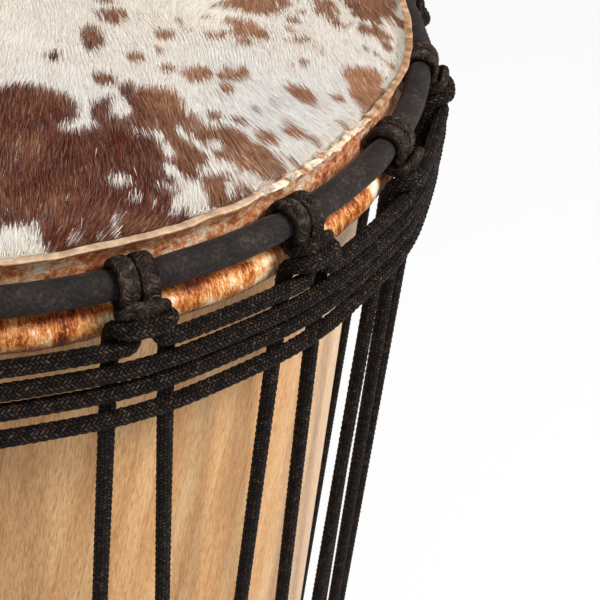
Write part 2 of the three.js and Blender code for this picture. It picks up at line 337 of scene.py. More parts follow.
def cut_edge_look(tree):
    """The hide's trimmed edge: grey-beige where cut square, tan where slanted, cream where torn."""
    place = add(tree, "TexCoord", out="Object")
    cloudy = {"Vector": place, "Scale": scale_for(3.84615), "Detail": 4.0, "Roughness": 0.6}
    cloud = add(tree, "TexNoise", cloudy)
    colour, slanted, torn = [
        add(tree, "ValToRGB", {"Fac": cloud}, stops=stops)
        for stops in (
            [(0.3, "#9c7f61"), (0.5, "#bd9d7e"), (0.68, "#d8bb9a")],
            [(0.3, "#6f4a33"), (0.48, "#9f7551"), (0.6, "#c09873"), (0.72, "#debf9f")],
            [(0.38, "#8f5a38"), (0.45, "#c79a70"), (0.53, "#e6cda8"), (0.63, "#f9eddb")],
        )
    ]
    for name, other in (("tone", slanted), ("coat", torn)):
        share = add(tree, "Attribute", out="Fac", attribute_name=name)
        parts = {"Factor": share, 6: colour, 7: other}
        colour = add(tree, "Mix", parts, 2, data_type="RGBA")
    bump = add(tree, "Bump", {"Height": cloud, "Strength": 0.5, "Distance": 0.0005})
    return {"Base Color": colour, "Roughness": 0.62, "Normal": bump}


def fold_look(tree):
    """Rawhide pulled round a steel bar: golden brown, with fibres that run over the fold."""
    place = add(tree, "TexCoord", out="Object")
    flat = add(tree, "VectorMath", {0: place, 1: (1, 1, 0)}, operation="MULTIPLY")
    radial = add(tree, "VectorMath", {0: flat}, operation="NORMALIZE")
    # A step round the drum counts in full and one over the fold for about a sixth, which draws the
    # noise out over the fold.
    middle = (FOLD_MIDDLE * MM, FOLD_MIDDLE * MM, 0)
    drawn = add(tree, "VectorMath", {0: radial, 1: middle}, operation="MULTIPLY")
    over = add(tree, "VectorMath", {0: place, 1: (0.1, 0.1, 0.16)}, operation="MULTIPLY")
    along = add(tree, "VectorMath", {0: drawn, 1: over}, operation="ADD")
    along = wander(tree, along, place, 3.0303, 3.0, (0.0022, 0.0022, 0.0022))
    # The fold's tone, which carries its painted shade and highlights, and then fibres, bundles of them
    # and blotches, by their width in millimetres
    height = add(tree, "Attribute", out="Fac", attribute_name="tone")
    for at, width, detail, roughness, share in (
        (along, 0.5, 3.0, 0.65, 1.5),
        (along, 1.92308, 3.0, 0.6, 0.75),
        (place, 4.16667, 4.0, 0.6, 1.3),
    ):
        values = {"Vector": at, "Scale": scale_for(width), "Detail": detail, "Roughness": roughness}
        pattern = add(tree, "TexNoise", values)
        parts = {0: pattern, 1: share, 2: height}
        height = add(tree, "Math", parts, operation="MULTIPLY_ADD")
    fac = add(tree, "MapRange", {"Value": height, "From Min": 1.6, "From Max": 2.75})
    stops = [(0.06, "#5a200b"), (0.22, "#8e4319"), (0.37, "#bf692f")]
    stops += [(0.52, "#de9550"), (0.68, "#f2bd82"), (0.86, "#fdeed6")]
    colour = add(tree, "ValToRGB", {"Fac": fac}, stops=stops)
    bump = add(tree, "Bump", {"Height": height, "Strength": 0.7, "Distance": 0.0004})
    return {"Base Color": colour, "Roughness": 0.45, "Specular IOR Level": 0.3, "Normal": bump}


def flesh_side_look(tree):
    """The flesh side of the hide where it dried loose: red-brown, crusty, with pale flecks."""
    place = add(tree, "TexCoord", out="Object")
    bent = wander(tree, place, place, 3.33333, 2.0, (0.003, 0.003, 0.003))
    crusty = {"Vector": bent, "Scale": scale_for(2.08333), "Detail": 6.0, "Roughness": 0.78}
    crust = add(tree, "TexNoise", crusty)
    broad = add(tree, "TexNoise", {"Vector": place, "Scale": scale_for(9.09091), "Detail": 2.0})
    both = add(tree, "Math", {0: broad, 1: 0.5, 2: crust}, operation="MULTIPLY_ADD")
    stops = [(0.55, "#762c15"), (0.66, "#c06438"), (0.74, "#e5965f")]
    stops += [(0.8, "#f6bf8d"), (0.85, "#ffe0c0"), (0.91, "#fff7ec")]
    colour = add(tree, "ValToRGB", {"Fac": both}, stops=stops)
    bump = add(tree, "Bump", {"Height": crust, "Strength": 1.0, "Distance": 0.0013})
    return {"Base Color": colour, "Roughness": 0.6, "Normal": bump}


def cloth_look(tree):
    """Black cotton, wound tight on the ring: matt charcoal with a brown fuzz that hides the weave."""
    place = add(tree, "TexCoord", out="Object")
    fuzzy = {"Vector": place, "Scale": scale_for(1.11111), "Detail": 4.0, "Roughness": 0.65}
    fuzz = add(tree, "TexNoise", fuzzy)
    cloud = add(tree, "TexNoise", {"Vector": place, "Scale": scale_for(8.33333), "Detail": 2.0})
    both = add(tree, "Math", {0: cloud, 1: 0.5, 2: fuzz}, operation="MULTIPLY_ADD")
    stops = [(0.55, "#171311"), (0.72, "#231d1b"), (0.85, "#2f2723"), (1.0, "#4d4038")]
    colour = add(tree, "ValToRGB", {"Fac": both}, stops=stops)
    bump = add(tree, "Bump", {"Height": fuzz, "Strength": 0.35, "Distance": 0.0004})
    surface = {"Base Color": colour, "Roughness": 0.75, "Specular IOR Level": 0.16}
    return surface | {"Sheen Weight": 0.04, "Sheen Roughness": 0.5, "Normal": bump}


# Strands that go each way round the rope
STRANDS = 12.0


def rope_look(tree):
    """Braided polyester, black and dusty: twelve strands each way, each over two and under two."""
    uv = add(tree, "UVMap", uv_map="lie")
    place = add(tree, "TexCoord", out="Object")
    # No braid is quite even, so the strands wander a little.
    pulled = wander(tree, uv, place, 3.84615, 2.0, (0.05, 0.9, 0))
    found = {
        "u": add(tree, "SeparateXYZ", {"Vector": pulled}, "X"),
        "v": add(tree, "SeparateXYZ", {"Vector": pulled}, "Y"),
        "place": place,
        "wear": add(tree, "Attribute", out="Fac", attribute_name="wear"),
    }
    dust = {"Scale": scale_for(2.63158), "Detail": 5.0, "Roughness": 0.75}
    # Each row is a node. A row in capitals is a sum with its terms, and any other names its inputs.
    rows = [
        ("round", "MULTIPLY", "u", STRANDS),
        ("there", "ADD", "round", "v"),
        ("back", "SUBTRACT", "round", "v"),
        ("there_cell", "FLOOR", "there"),
        ("back_cell", "FLOOR", "back"),
        ("there_part", "SUBTRACT", "there", "there_cell"),
        ("back_part", "SUBTRACT", "back", "back_cell"),
        # Which of the two strands lies on top, and the place across and along it
        ("cells", "ADD", "there_cell", "back_cell"),
        ("turn", "FLOORED_MODULO", "cells", 4.0),
        ("over", "LESS_THAN", "turn", 1.5),
        ("across", "Mix", {"Factor": "over", 2: "there_part", 3: "back_part"}),
        ("onward", "Mix", {"Factor": "over", 2: "back_part", 3: "there_part"}),
        ("strand", "Mix", {"Factor": "over", 2: "there_cell", 3: "back_cell"}),
        ("second", "FLOORED_MODULO", "turn", 2.0),
        ("passed", "ADD", "onward", "second"),
        ("along", "MULTIPLY", "passed", 0.5),
    ]
    # Its crown stands high in the middle, both ways.
    for name in ("across", "along"):
        rows += [
            (f"{name}_out", "MULTIPLY_ADD", name, 2.0, -1.0),
            (f"{name}_fall", "MULTIPLY", f"{name}_out", f"{name}_out"),
            (f"{name}_rise", "SUBTRACT", 1.0, f"{name}_fall"),
        ]
    rows += [
        ("crown", "MULTIPLY_ADD", "along_rise", 0.6, 0.4),
        ("bulge", "MULTIPLY", "across_rise", "crown"),
        # Five yarns lie side by side in a strand, and no two strands catch the same dust.
        ("yarn_place", "CombineXYZ", {"X": "across", "Y": "along", "Z": "strand"}),
        ("yarn_at", "Mapping", {"Vector": "yarn_place", "Scale": (5, 1.1, 3.7)}),
        ("yarn", "TexNoise", {"Vector": "yarn_at", "Scale": 1.0, "Detail": 2.0}),
        ("height", "MULTIPLY_ADD", "yarn", 0.5, "bulge"),
        ("quarter", "MULTIPLY", "cells", 0.25),
        ("run", "FLOOR", "quarter"),
        ("own_at", "CombineXYZ", {"X": "strand", "Y": "run", "Z": "over"}),
        ("own", "TexWhiteNoise", {"Vector": "own_at"}),
        ("dust", "TexNoise", {"Vector": "place", **dust}),
        # Turns that are pressed and rubbed are dustier than the rest, and their strands are flat.
        ("plain", "MULTIPLY_ADD", "wear", -1.6, 0.85),
        # Painted shade and highlight: the braid's height darkens the colour between the strands and
        # lightens the crowns, less so on flat turns.
        ("seen", "MULTIPLY", "height", "plain"),
        ("rubbed", "MULTIPLY", "wear", 1.9),
        ("dusty", "MULTIPLY_ADD", "dust", 1.4, "rubbed"),
        ("toned", "MULTIPLY_ADD", "own", 0.38, "dusty"),
        ("lit", "ADD", "toned", "seen"),
        ("fac", "MapRange", {"Value": "lit", "From Min": 0.86, "From Max": 2.4}),
    ]
    for name, kind, *terms in rows:
        inputs, settings = terms[0], {}
        if kind.isupper():
            inputs, kind, settings = dict(enumerate(terms)), "Math", {"operation": kind}
        inputs = {key: found.get(value, value) for key, value in inputs.items()}
        found[name] = add(tree, kind, inputs, **settings)
    stops = [(0.12, "#020101"), (0.3, "#090604"), (0.5, "#18110d"), (0.7, "#342a23"), (0.95, "#605247")]
    colour = add(tree, "ValToRGB", {"Fac": found["fac"]}, stops=stops)
    bump = add(tree, "Bump", {"Height": found["height"], "Strength": 0.9, "Distance": 0.0005})
    return {"Base Color": colour, "Roughness": 0.65, "Specular IOR Level": 0.1, "Normal": bump}


def steel_look(tree):
    """Plain round bar, bent and welded, with a dull mill skin."""
    place = add(tree, "TexCoord", out="Object")
    cloud = add(tree, "TexNoise", {"Vector": place, "Scale": scale_for(11.1111), "Detail": 3.0})
    stops = [(0.3, "#5d5c5b"), (0.7, "#8b8a88")]
    colour = add(tree, "ValToRGB", {"Fac": cloud}, stops=stops)
    rough = add(tree, "MapRange", {"Value": cloud, "To Min": 0.35, "To Max": 0.55})
    return {"Base Color": colour, "Metallic": 1.0, "Roughness": rough}


wood = make_material("oiled_hardwood_sanded", wood_look)
coat = make_material("cowhide_hair", coat_look)
cut_edge = make_material("rawhide_cut_edge", cut_edge_look)
fold_hide = make_material("rawhide_stretched", fold_look)
rough_hide = make_material("rawhide_flesh_side", flesh_side_look)
cloth = make_material("cotton_cloth_charcoal", cloth_look)
rope = make_material("braided_polyester_black", rope_look)
steel = make_material("mild_steel_bar", steel_look)


# Turned pieces

def turned(name, outline, around, materials):
    """Turns an outline of (radius, height) round the drum's axis: a circle, extruded along it."""
    bpy.ops.object.select_all(action="DESELECT")
    radius, height = outline[0]
    start = (0, 0, height * MM)
    bpy.ops.mesh.primitive_circle_add(vertices=around, radius=radius * MM, location=start)
    piece = bpy.context.object
    piece.name = name
    bpy.ops.object.transform_apply(location=True, rotation=True, scale=True)
    bpy.ops.object.mode_set(mode="EDIT")
    bpy.ops.mesh.select_all(action="SELECT")
    for (r0, h0), (r1, h1) in itertools.pairwise(outline):
        bpy.ops.mesh.extrude_region_move(TRANSFORM_OT_translate={"value": (0, 0, (h1 - h0) * MM)})
        if abs(r1 - r0) > 1e-6:
            bpy.ops.transform.resize(value=(r1 / r0, r1 / r0, 1), center_override=(0, 0, h1 * MM))
    closed = outline[0] == outline[-1]
    if not closed:
        bpy.ops.mesh.merge(type="CENTER")
    bpy.ops.object.mode_set(mode="OBJECT")
    if not closed:
        for vertex in piece.data.vertices:
            vertex.select = vertex.index < around
        bpy.ops.object.mode_set(mode="EDIT")
        bpy.ops.mesh.merge(type="CENTER")
        bpy.ops.object.mode_set(mode="OBJECT")
    bpy.ops.object.mode_set(mode="EDIT")
    bpy.ops.mesh.select_all(action="SELECT")
    bpy.ops.mesh.remove_doubles(threshold=1e-6)
    bpy.ops.mesh.normals_make_consistent(inside=False)
    bpy.ops.object.mode_set(mode="OBJECT")
    bpy.ops.object.shade_smooth()
    for material in materials:
        piece.data.materials.append(material)
    return piece


def arc(centre_radius, centre_rise, radius, start, stop, steps):
    angles = np.radians(np.linspace(start, stop, steps + 1))
    return [
        (centre_radius + radius * math.cos(a), centre_rise + radius * math.sin(a)) for a in angles
    ]


def at_end(end, outline):
    return [(radius, end.plane + end.out * rise) for radius, rise in outline]


def read_vectors(rows, key):
    """One vector of each row of a mesh's data, such as the place of each point."""
    found = np.empty(len(rows) * 3, np.float32)
    rows.foreach_get(key, found)
    return found.reshape(-1, 3)


def points_of(piece):
    return read_vectors(piece.data.vertices, "co").astype(float) / MM


def set_points(piece, points):
    piece.data.vertices.foreach_set("co", (points * MM).astype(np.float32).ravel())
    piece.data.update()


# The chamfer inside a rim: how far outside the inner wall, and how far down
BEVEL = [(3, 0), (0.6, 4.4), (0, 6)]


def make_shell():
    """A straight wooden tube with rounded rims and a chamfer inside them."""
    outer, inner = SHELL_RADIUS, SHELL_RADIUS - SHELL_WALL
    outline = []
    for end in (TOP, BOTTOM):
        rim = arc(outer - EDGE_ROUNDING, SHELL_RISE - EDGE_ROUNDING, EDGE_ROUNDING, 0, 90, 6)
        rim += [(inner + across, SHELL_RISE - down) for across, down in BEVEL]
        rim = at_end(end, rim)
        outline += rim if end is TOP else rim[::-1]
    outline.append(outline[0])
    piece = turned("wooden_shell", outline, 228, [wood])
    return keep(piece, "wood", "shell")


# The hide

# The collar's inside lies past the first radius, and faces past the second can be flesh side.
COLLAR_INSIDE = 153.05
FLESH_FROM = 153
# How much the noise in the fold's creases is stretched over the fold
CREASE_STRETCH = 0.15
# The hide's materials, in the order of its slots
HAIR_SIDE, CUT_SIDE, FLESH_SIDE, FOLD_SIDE = range(4)

# The fur's own surface past the flat of the head: down into a shallow valley, up to the cut edge
VALLEY = 152.95
FUR_EDGE = 156.4
FUR_PROFILE = [
    (147.5, 8.9),
    (149.0, 8.85),
    (150.2, 8.75),
    (151.3, 8.6),
    (152.2, 8.45),
    (VALLEY, 8.4),
    (153.8, 8.6),
    (154.7, 8.95),
    (155.5, 9.35),
    (156.1, 9.7),
    (FUR_EDGE, 9.95),
]


def collar_outside(rise):
    share = np.clip((rise - COLLAR_RISE / 4) / (COLLAR_RISE * 0.75), 0, 1) ** 1.3
    return COLLAR_OUTER + COLLAR_LEAN * share


def hide_outline():
    """The skin's section, from the middle of its lower side to the middle of its upper side."""
    bend = (SHELL_RADIUS - EDGE_ROUNDING, SHELL_RISE - EDGE_ROUNDING)
    outline = [(0.8, HEAD_RISE - HIDE), (75, HEAD_RISE - HIDE)]
    outline += arc(*bend, EDGE_ROUNDING + GAP, 90, 0, 4)
    outline += [(150.3, -5), (150.3, -12)]
    outline += arc(FLESH_RADIUS, -FLESH_DROP, FOLD_OUTER, 195, 415, 30)
    outline += [(157.9, -7.6), (156.3, -6.3), (155.8, -4.6), (155.6, -3)]
    outline += [(float(collar_outside(rise)), float(rise)) for rise in np.linspace(-1.8, 9.2, 12)]
    outline += [(159.2, 9.75), (158.9, 10.05), (158.3, 10.1), (157.6, 10.1), (156.9, 10.1)]
    outline += FUR_PROFILE[:5:-1] + [(153.1, 8.2), (153.1, 0), (153.15, -5)]
    outline += arc(FLESH_RADIUS, -FLESH_DROP, FOLD_INNER, 118, -118, 8)
    outline += [(152.8, -12), (152.8, -6), (152.8, 0), (152.8, 8.2)] + FUR_PROFILE[4::-1]
    outline += [(float(radius), HEAD_RISE) for radius in np.linspace(145, 0.8, 24)]
    return outline


def round_place(points):
    """Each point's radius and angle."""
    return np.hypot(points[:, 0], points[:, 1]), np.arctan2(points[:, 1], points[:, 0])


def on_circle(angle, radius):
    return np.stack([np.cos(angle) * radius, np.sin(angle) * radius], 1)


def on_end(end, angle, radius, rise):
    """Points at one end of the drum."""
    return np.column_stack([on_circle(angle, radius), end.plane + end.out * rise])


def hitch_phase(end, angle):
    """Where an angle lies between the hitches: a whole number at each of them."""
    return (angle - end.turn) / HITCH_ANGLE


# Brown in the upper head's coat: place, half sizes and, where they aren't 0 and 1, its turn in
# degrees and how full the colour is
TOP_BROWN = [
    (41, -111, 17, 14), (40, -144, 22, 19), (52, -118, 9, 12), (46, -69.5, 3.4, 4),
    (51, -77, 4, 6, 10, 0.85), (45.5, -82.5, 2.2, 3, 0, 0.8), (42.5, -89, 2.8, 7, 0, 0.95),
    (47, -96, 6, 5.5, 0, 0.9), (59, -86, 8, 11.5, 10, 1), (57, -95, 7, 7), (66, -94, 5, 4, -20, 0.95),
    (63, -112, 6.5, 17), (75, -106, 8.5, 6.5, -10, 1), (69, -101, 4, 4, 0, 0.9),
    (80, -117, 9, 11, 25, 0.95), (85, -124, 5, 5, 25, 0.85), (70, -128, 6, 5), (68, -135, 8, 6),
    (77, -132, 5, 5, 0, 0.8), (57, -125, 5, 5, 0, 0.9), (105, -21, 11.5, 9), (97, -21, 6, 4, 20, 1),
    (90, -21.5, 5, 1.2, 38, 0.6), (117.5, -28, 2.8, 2.4, 0, 0.85), (119, -22, 4, 1, 0, 0.5),
    (128, -22, 5, 4.5), (127, -28, 5, 3, 0, 0.9), (127.7, -35, 2.8, 4.6, 10, 0.95),
    (131, -38.5, 2.2, 2, 0, 0.75), (144, -22, 10.5, 9), (143.5, -32, 7.5, 8),
    (137.5, -36, 2, 2, 0, 0.85), (139, -43, 5, 3.4, -28, 1), (142, -47, 2.6, 3.6, 0, 0.9),
    (141.5, -54.5, 2, 4, 10, 0.75), (150.5, -36, 2, 11, 10, 0.95), (127, -74, 6.5, 7), (126, -84, 6, 9),
    (124.5, -93, 4.4, 6, 0, 0.95), (54, -28, 4.8, 5.8), (52, -16.5, 3.4, 2.6, 0, 0.95),
    (45, -43, 4, 9, 0, 0.95), (68.5, -42.5, 3, 3.2, 0, 0.95), (57, -56, 3.4, 3, -25, 1),
    (66, -53, 1.9, 3, 0, 0.8), (67, -64.5, 2.7, 2.7), (75, -68.5, 5, 5.4), (87, -68, 4, 4.4),
    (83.5, -71, 3.2, 2.6, 0, 0.9), (82, -78, 2.7, 3.2, 0, 0.9), (79.5, -80, 1.4, 1.2, 0, 0.5),
    (77, -39, 3, 1.5, 0, 0.5), (85.5, -29.5, 1.9, 2.1, 0, 0.6), (75, -32, 1.5, 2.2, 0, 0.5),
    (68, -29, 1.4, 2.2, 0, 0.42), (52, -39.5, 2.2, 1, 0, 0.45), (83.3, -43.5, 1.4, 2.2, 0, 0.85),
    (87, -43, 2.6, 2.6, 0, 0.9), (93, -33.5, 3.8, 2.9, -10, 0.95), (97, -38.5, 4.8, 5.4),
    (100, -42.5, 2.8, 4.2), (92.5, -42.5, 3.4, 2.4, 0, 0.9), (94.5, -48, 2.7, 2.1, 0, 0.85),
    (91, -50, 1.8, 1.4, 0, 0.65), (114, -34, 2.5, 2.5, 0, 0.9), (112, -40.7, 2.3, 1.8, -25, 0.75),
    (113.5, -48, 3.2, 2.3, 0, 0.8), (109.5, -48, 1.8, 1.2, 0, 0.42), (116.5, -53, 1.2, 1.7, 0, 0.4),
    (118.5, -56.5, 1.3, 2.3, 0, 0.38), (110, -62.5, 2, 2, 0, 0.85), (105.5, -64.5, 1.6, 1.5, 0, 0.5),
    (105, -83.5, 3.5, 6.4, 20, 1), (116.5, -86, 2, 3.2, 0, 0.9), (95.5, -87, 2.2, 4.6, -30, 0.34),
    (88.5, -90.5, 2, 1.8, 0, 0.6), (75.5, -94, 2.6, 2.6, 0, 0.85), (82.3, -97, 2.5, 2.7, 0, 0.9),
    (88.5, -107, 3.1, 4.6, 10, 0.95), (97, -104, 3.2, 5, 22, 1), (101, -109, 1.8, 3.4, 15, 0.8),
    (97, -98.5, 2.2, 1.8, 0, 0.4), (134, -56, 1.5, 1.3, 0, 0.5), (136.5, -60, 1.2, 3, 15, 0.55),
    (138.5, -66, 1.2, 3.4, 15, 0.6), (113.5, -102, 1.6, 3.4, 15, 0.6), (92, -119, 1.4, 4, 25, 0.6),
]
# White flecks in that brown
TOP_WHITE = [
    (48.5, -87, 3, 5), (47.3, -77, 1.4, 3.4, 0, 0.85), (57, -104, 1.4, 3.4, 0, 0.9),
    (58, -112.5, 1.5, 3.4, -10, 0.95), (58, -122, 1.9, 4.6, 20, 0.95), (61.5, -133, 3, 7.5, 12, 1),
    (56.5, -138, 2.2, 4, -20, 0.75), (64.5, -103, 1.2, 4.6, 8, 0.85), (67.5, -108, 1, 4.4, 12, 0.8),
    (72, -120.5, 4, 2.8), (67, -122.5, 1.8, 1.6, 0, 0.9), (72, -110, 2.4, 1.9, 0, 0.9),
    (69.5, -114, 1, 3.4, 10, 0.8), (78.5, -127, 3, 3.2, 0, 0.85), (72, -132, 1.5, 4.4, -15, 0.85),
    (81, -131, 2, 4, -10, 0.8), (43, -124.5, 3.4, 2.2, -25, 0.8), (46, -133, 1.8, 1.2, -20, 0.7),
    (54, -129.5, 2.6, 1.4, -30, 0.6), (133, -25, 1.3, 6.5, -10, 0.9), (131.3, -34, 1.7, 4.2),
    (136.5, -37, 1, 4.4, 40, 0.9), (146.5, -43, 1.7, 9, 12, 1), (120, -24.5, 3, 2, 0, 0.7),
]


def scatter(draw, count, farthest, sizes, shares, lasts, keep_out):
    """Places on a head with half sizes and one more number, each between its two limits."""
    found = []
    while len(found) < count:
        radius, angle = farthest * math.sqrt(draw.random()), TURN * draw.random()
        x, y = radius * math.cos(angle), radius * math.sin(angle)
        size, share, last = draw.uniform(*sizes), draw.uniform(*shares), draw.uniform(*lasts)
        if not keep_out(x, y, size):
            found.append((x, y, size, size * share, last))
    return found


def wild_patches(seed, keep_out):
    """Patches and spots for the part of a coat that has none set down."""
    draw = np.random.default_rng(seed)
    patches = scatter(draw, 11, 140, (12, 27), (0.5, 1), (0, 180), keep_out)
    spots = scatter(draw, 90, 150, (1.6, 5.5), (0.6, 1.5), (0.5, 1), keep_out)
    return [(*patch, 1) for patch in patches] + [(*spot[:4], 90, spot[4]) for spot in spots]


def seen_part(x, y, size):
    """The part of the upper head that the photograph shows."""
    return x > 38 - size and y < -14 + size


BROWN = {
    "top": TOP_BROWN
    + [(8, -118, 34, 26, 10, 1), (20, -84, 17, 13, -20, 1), (116, -4, 22, 14)]
    + wild_patches(5, seen_part),
    "bottom": wild_patches(21, lambda x, y, size: False) + [(60, 70, 45, 36, 25, 1)],
}
WHITE = {"top": TOP_WHITE, "bottom": []}


def patch_field(x, y, patches):
    """How full a colour is at places, from 0 to 1, with soft edges round its patches."""
    field = np.zeros(len(x))
    for px, py, half_x, half_y, *rest in patches:
        turn, full = rest or (0, 1)
        reach = 2 * max(half_x, half_y)
        near = (np.abs(x - px) < reach) & (np.abs(y - py) < reach)
        dx, dy = x[near] - px, y[near] - py
        c, s = math.cos(math.radians(turn)), math.sin(math.radians(turn))
        far = np.hypot((dx * c + dy * s) / half_x, (dy * c - dx * s) / half_y)
        soft = min(0.45, 1.9 / min(half_x, half_y))
        field[near] = np.maximum(field[near], full * smooth_step(1 + soft, 1 - soft, far))
    return field


def coat_at(end, x, y):
    """How brown the coat is at places on an end's head, from 0, white, to 1."""
    flat = np.stack([x, y], 1)
    shift = [
        0.9 * grain(flat, 7, end.seed + 40 + i) + 0.6 * grain(flat, 2.6, end.seed + 50 + i)
        for i in (0, 1)
    ]
    brown = patch_field(x + shift[0], y + shift[1], BROWN[end.name])
    white = patch_field(x + shift[0], y + shift[1], WHITE[end.name])
    # Thin white wisps inside the brown
    wisp = smooth_step(0.5, 0.85, grain(flat * [1, 0.3], 1.9, end.seed + 60))
    wisp *= smooth_step(-0.2, 0.5, grain(flat, 16, end.seed + 61))
    return np.clip(brown * (1 - white) * (1 - 0.6 * wisp), 0, 1)


def near_place(x, y, at_x, at_y, reach):
    return np.exp(-((x - at_x) ** 2 + (y - at_y) ** 2) / reach**2)


def tone_at(end, x, y):
    """How light the brown is: darkest at the lower left, redder and lighter towards the right."""
    flat = np.stack([x, y], 1)
    tone = 0.4 + 0.16 * grain(flat, 14, end.seed + 70) + 0.1 * grain(flat, 4, end.seed + 71)
    if end is TOP:
        tone += 0.44 * smooth_step(44, 84, x + 0.25 * (y + 110)) - 0.34
        tone += 0.2 * near_place(x, y, 127, -82, 16) - 0.3 * near_place(x, y, 141, -25, 17)
        tone += 0.12 * near_place(x, y, 97, -39, 12) - 0.12 * near_place(x, y, 51, -78, 8)
    return np.clip(tone, 0, 1)


def warmth_at(end, x, y):
    """How warm the white is: cream at the far side, cooler low down."""
    flat = np.stack([x, y], 1)
    warm = 0.55 + 0.2 * grain(flat, 24, end.seed + 72)
    if end is TOP:
        warm += 0.25 * smooth_step(-75, -45, y) - 0.35 * near_place(x, y, 92, -86, 24)
        warm += 0.6 * smooth_step(149, 154, np.hypot(x, y))
    return np.clip(warm, 0, 1)


def lie_at(end, x, y):
    """Which way the hair lies on a head, as an angle."""
    flat = np.stack([x, y], 1)
    degrees = 84 + 9 * grain(flat, 45, end.seed + 80) + 7 * grain(flat, 14, end.seed + 81)
    if end is TOP:
        degrees += 28 * smooth_step(-62, -100, y) * smooth_step(66, 96, x)
        degrees -= 36 * near_place(x, y, 42, -148, 22) + 34 * near_place(x, y, 89, -21, 10)
    return np.radians(degrees + 180)


def seen_collar(angle):
    """The part of the upper collar that the photograph shows, from 0 to 1."""
    return smooth_step(90, 75, np.abs(np.degrees(angle) + 60))


def torn_share(end, angle):
    """Where the cut edge is torn and tufted, from 0 to 1."""
    torn = smooth_step(0.3, 0.7, grain(on_circle(angle, COLLAR_MIDDLE), 45, end.seed + 93))
    if end is TOP:
        tufted = smooth_step(13, 8, np.abs(np.degrees(angle) + 49))
        torn = torn * (1 - seen_collar(angle)) + tufted
    return torn


def trim_width(end, angle):
    """How wide the collar's cut edge is: broad where the cut was clean, thin and torn elsewhere."""
    ring = on_circle(angle, COLLAR_MIDDLE)
    broad = smooth_step(-0.25, 0.3, grain(ring, 70, end.seed + 90))
    torn = torn_share(end, angle)
    if end is TOP:
        broad = np.maximum(broad, smooth_step(125, 110, np.abs(np.degrees(angle) + 65))) * (1 - torn)
    return 1.2 + 1.5 * broad + 1.7 * torn + (0.2 + 0.45 * torn) * grain(ring, 4, end.seed + 91)


def edge_tone(end, angle):
    """The cut edge's colour: grey-beige, from 0, to tan, at 1."""
    tone = smooth_step(-0.3, 0.4, grain(on_circle(angle, COLLAR_MIDDLE), 60, end.seed + 92))
    if end is TOP:
        seen = seen_collar(angle)
        tone = tone * (1 - seen) + seen * smooth_step(-64, -50, np.degrees(angle))
    return tone


def collar_shape(end, angle):
    """How the hand-cut collar differs round the drum: trim width, drop of its top and lean."""
    ring = on_circle(angle, COLLAR_MIDDLE)
    wave = 0.5 + 0.5 * grain(ring, 21, end.seed) + 0.28 * grain(ring, 6, end.seed + 1)
    lean = 0.35 * grain(ring, 14, end.seed + 2) + 0.12 * grain(ring, 4, end.seed + 3)
    if end is TOP:
        torn = smooth_step(-62, -57, np.degrees(angle)) * smooth_step(-27, -40, np.degrees(angle))
        lean -= torn * (2.1 + 0.5 * grain(ring, 5, end.seed + 13))
    return trim_width(end, angle), 1.25 * np.clip(wave, 0, 1.6), lean


def crease_at(end, angle, rise):
    """The creases that run over the fold."""
    place = np.stack([angle * FOLD_MIDDLE, rise * CREASE_STRETCH], 1)
    return grain(place, 2.2, end.seed + 7)


def make_hide(end, around):
    outline = at_end(end, hide_outline())
    piece = turned(f"{end.name}_hide", outline, around, [coat, cut_edge, rough_hide, fold_hide])
    paint_hide(piece, end)
    points = points_of(piece)
    radius, angle = round_place(points)
    rise = end.out * (points[:, 2] - end.plane)
    torn = torn_share(end, angle)
    # The collar's edge was cut by hand, so it waves, leans and thins unevenly.
    trim, drop, lean = collar_shape(end, angle)
    collar = (radius > COLLAR_INSIDE) & (rise > -6)
    top = collar * smooth_step(6.0, 9.8, rise)
    depth = np.clip((collar_outside(rise) - radius) / CUT_EDGE, 0, 1)
    outer = collar & (depth < 0.2)
    inside = np.clip((radius - VALLEY) / (FUR_EDGE - VALLEY), 0, 1)
    out = top * depth * (CUT_EDGE - trim) + collar * smooth_step(0.5, 9.5, rise) * inside * lean
    place = np.stack([angle * COLLAR_MIDDLE, rise], 1)
    crust = 0.4 * grain(place, 5.5, end.seed + 4) + 0.26 * grain(place, 3.2, end.seed + 5)
    out += outer * (1 - 0.7 * smooth_step(9.2, 10.0, rise)) * smooth_step(-4, 1, rise) * crust
    # A torn edge is lumpy.
    lump = torn * (top > 0.8)
    out += lump * grain(points, 2.3, end.seed + 11)
    down = top * drop + lump * 0.9 * (0.6 + 0.6 * grain(points, 2.6, end.seed + 12))
    # The fold over the flesh ring swells between the hitches and is wrinkled across.
    over = np.hypot(radius - FLESH_RADIUS, rise + FLESH_DROP)
    fold = smooth_step(4.6, 5.6, over) * (over < 6.2) * (rise < -7)
    phase = hitch_phase(end, angle)
    pinch = np.abs(phase - np.round(phase)) * 2
    ring = on_circle(angle, FOLD_MIDDLE)
    swell = -0.45 * (1 - smooth_step(0.2, 0.75, pinch)) + 0.2 * grain(ring, 9, end.seed + 6)
    crease = crease_at(end, angle, rise)
    swell += 0.16 * crease - 0.3 * smooth_step(0.5, 0.8, crease)
    swell += 0.12 * grain(points, 3, end.seed + 8)
    share = fold * swell / np.maximum(over, 1)
    new_radius = radius + out + share * (radius - FLESH_RADIUS)
    new_rise = rise - down + share * (rise + FLESH_DROP)
    # The stretched head is flat, but the skin under the hair isn't even.
    furry = (radius < FUR_EDGE - 0.1) & (rise > 6)
    new_rise = new_rise - furry * (0.14 + 0.08 * grain(points[:, :2], 8, end.seed + 9))
    new_rise = new_rise - furry * 0.1 * smooth_step(147, 150, radius)
    set_points(piece, on_end(end, angle, new_radius, new_rise))
    x, y = points[:, 0], points[:, 1]
    furry = (radius < FUR_EDGE + 0.1) & (rise > 6)
    store(piece.data, "coat", np.where(furry, coat_at(end, x, y), torn))
    store(piece.data, "shade", 0.5 + 0.2 * grain(points, 3, end.seed + 10))
    # On the fold, tone carries painted shade and highlights.
    tone = np.where(rise > 9.7, edge_tone(end, angle), fold_tone(end, angle, rise))
    store(piece.data, "tone", np.where(furry, tone_at(end, x, y), tone))
    return keep(piece, "hide", f"{end.name}_head")


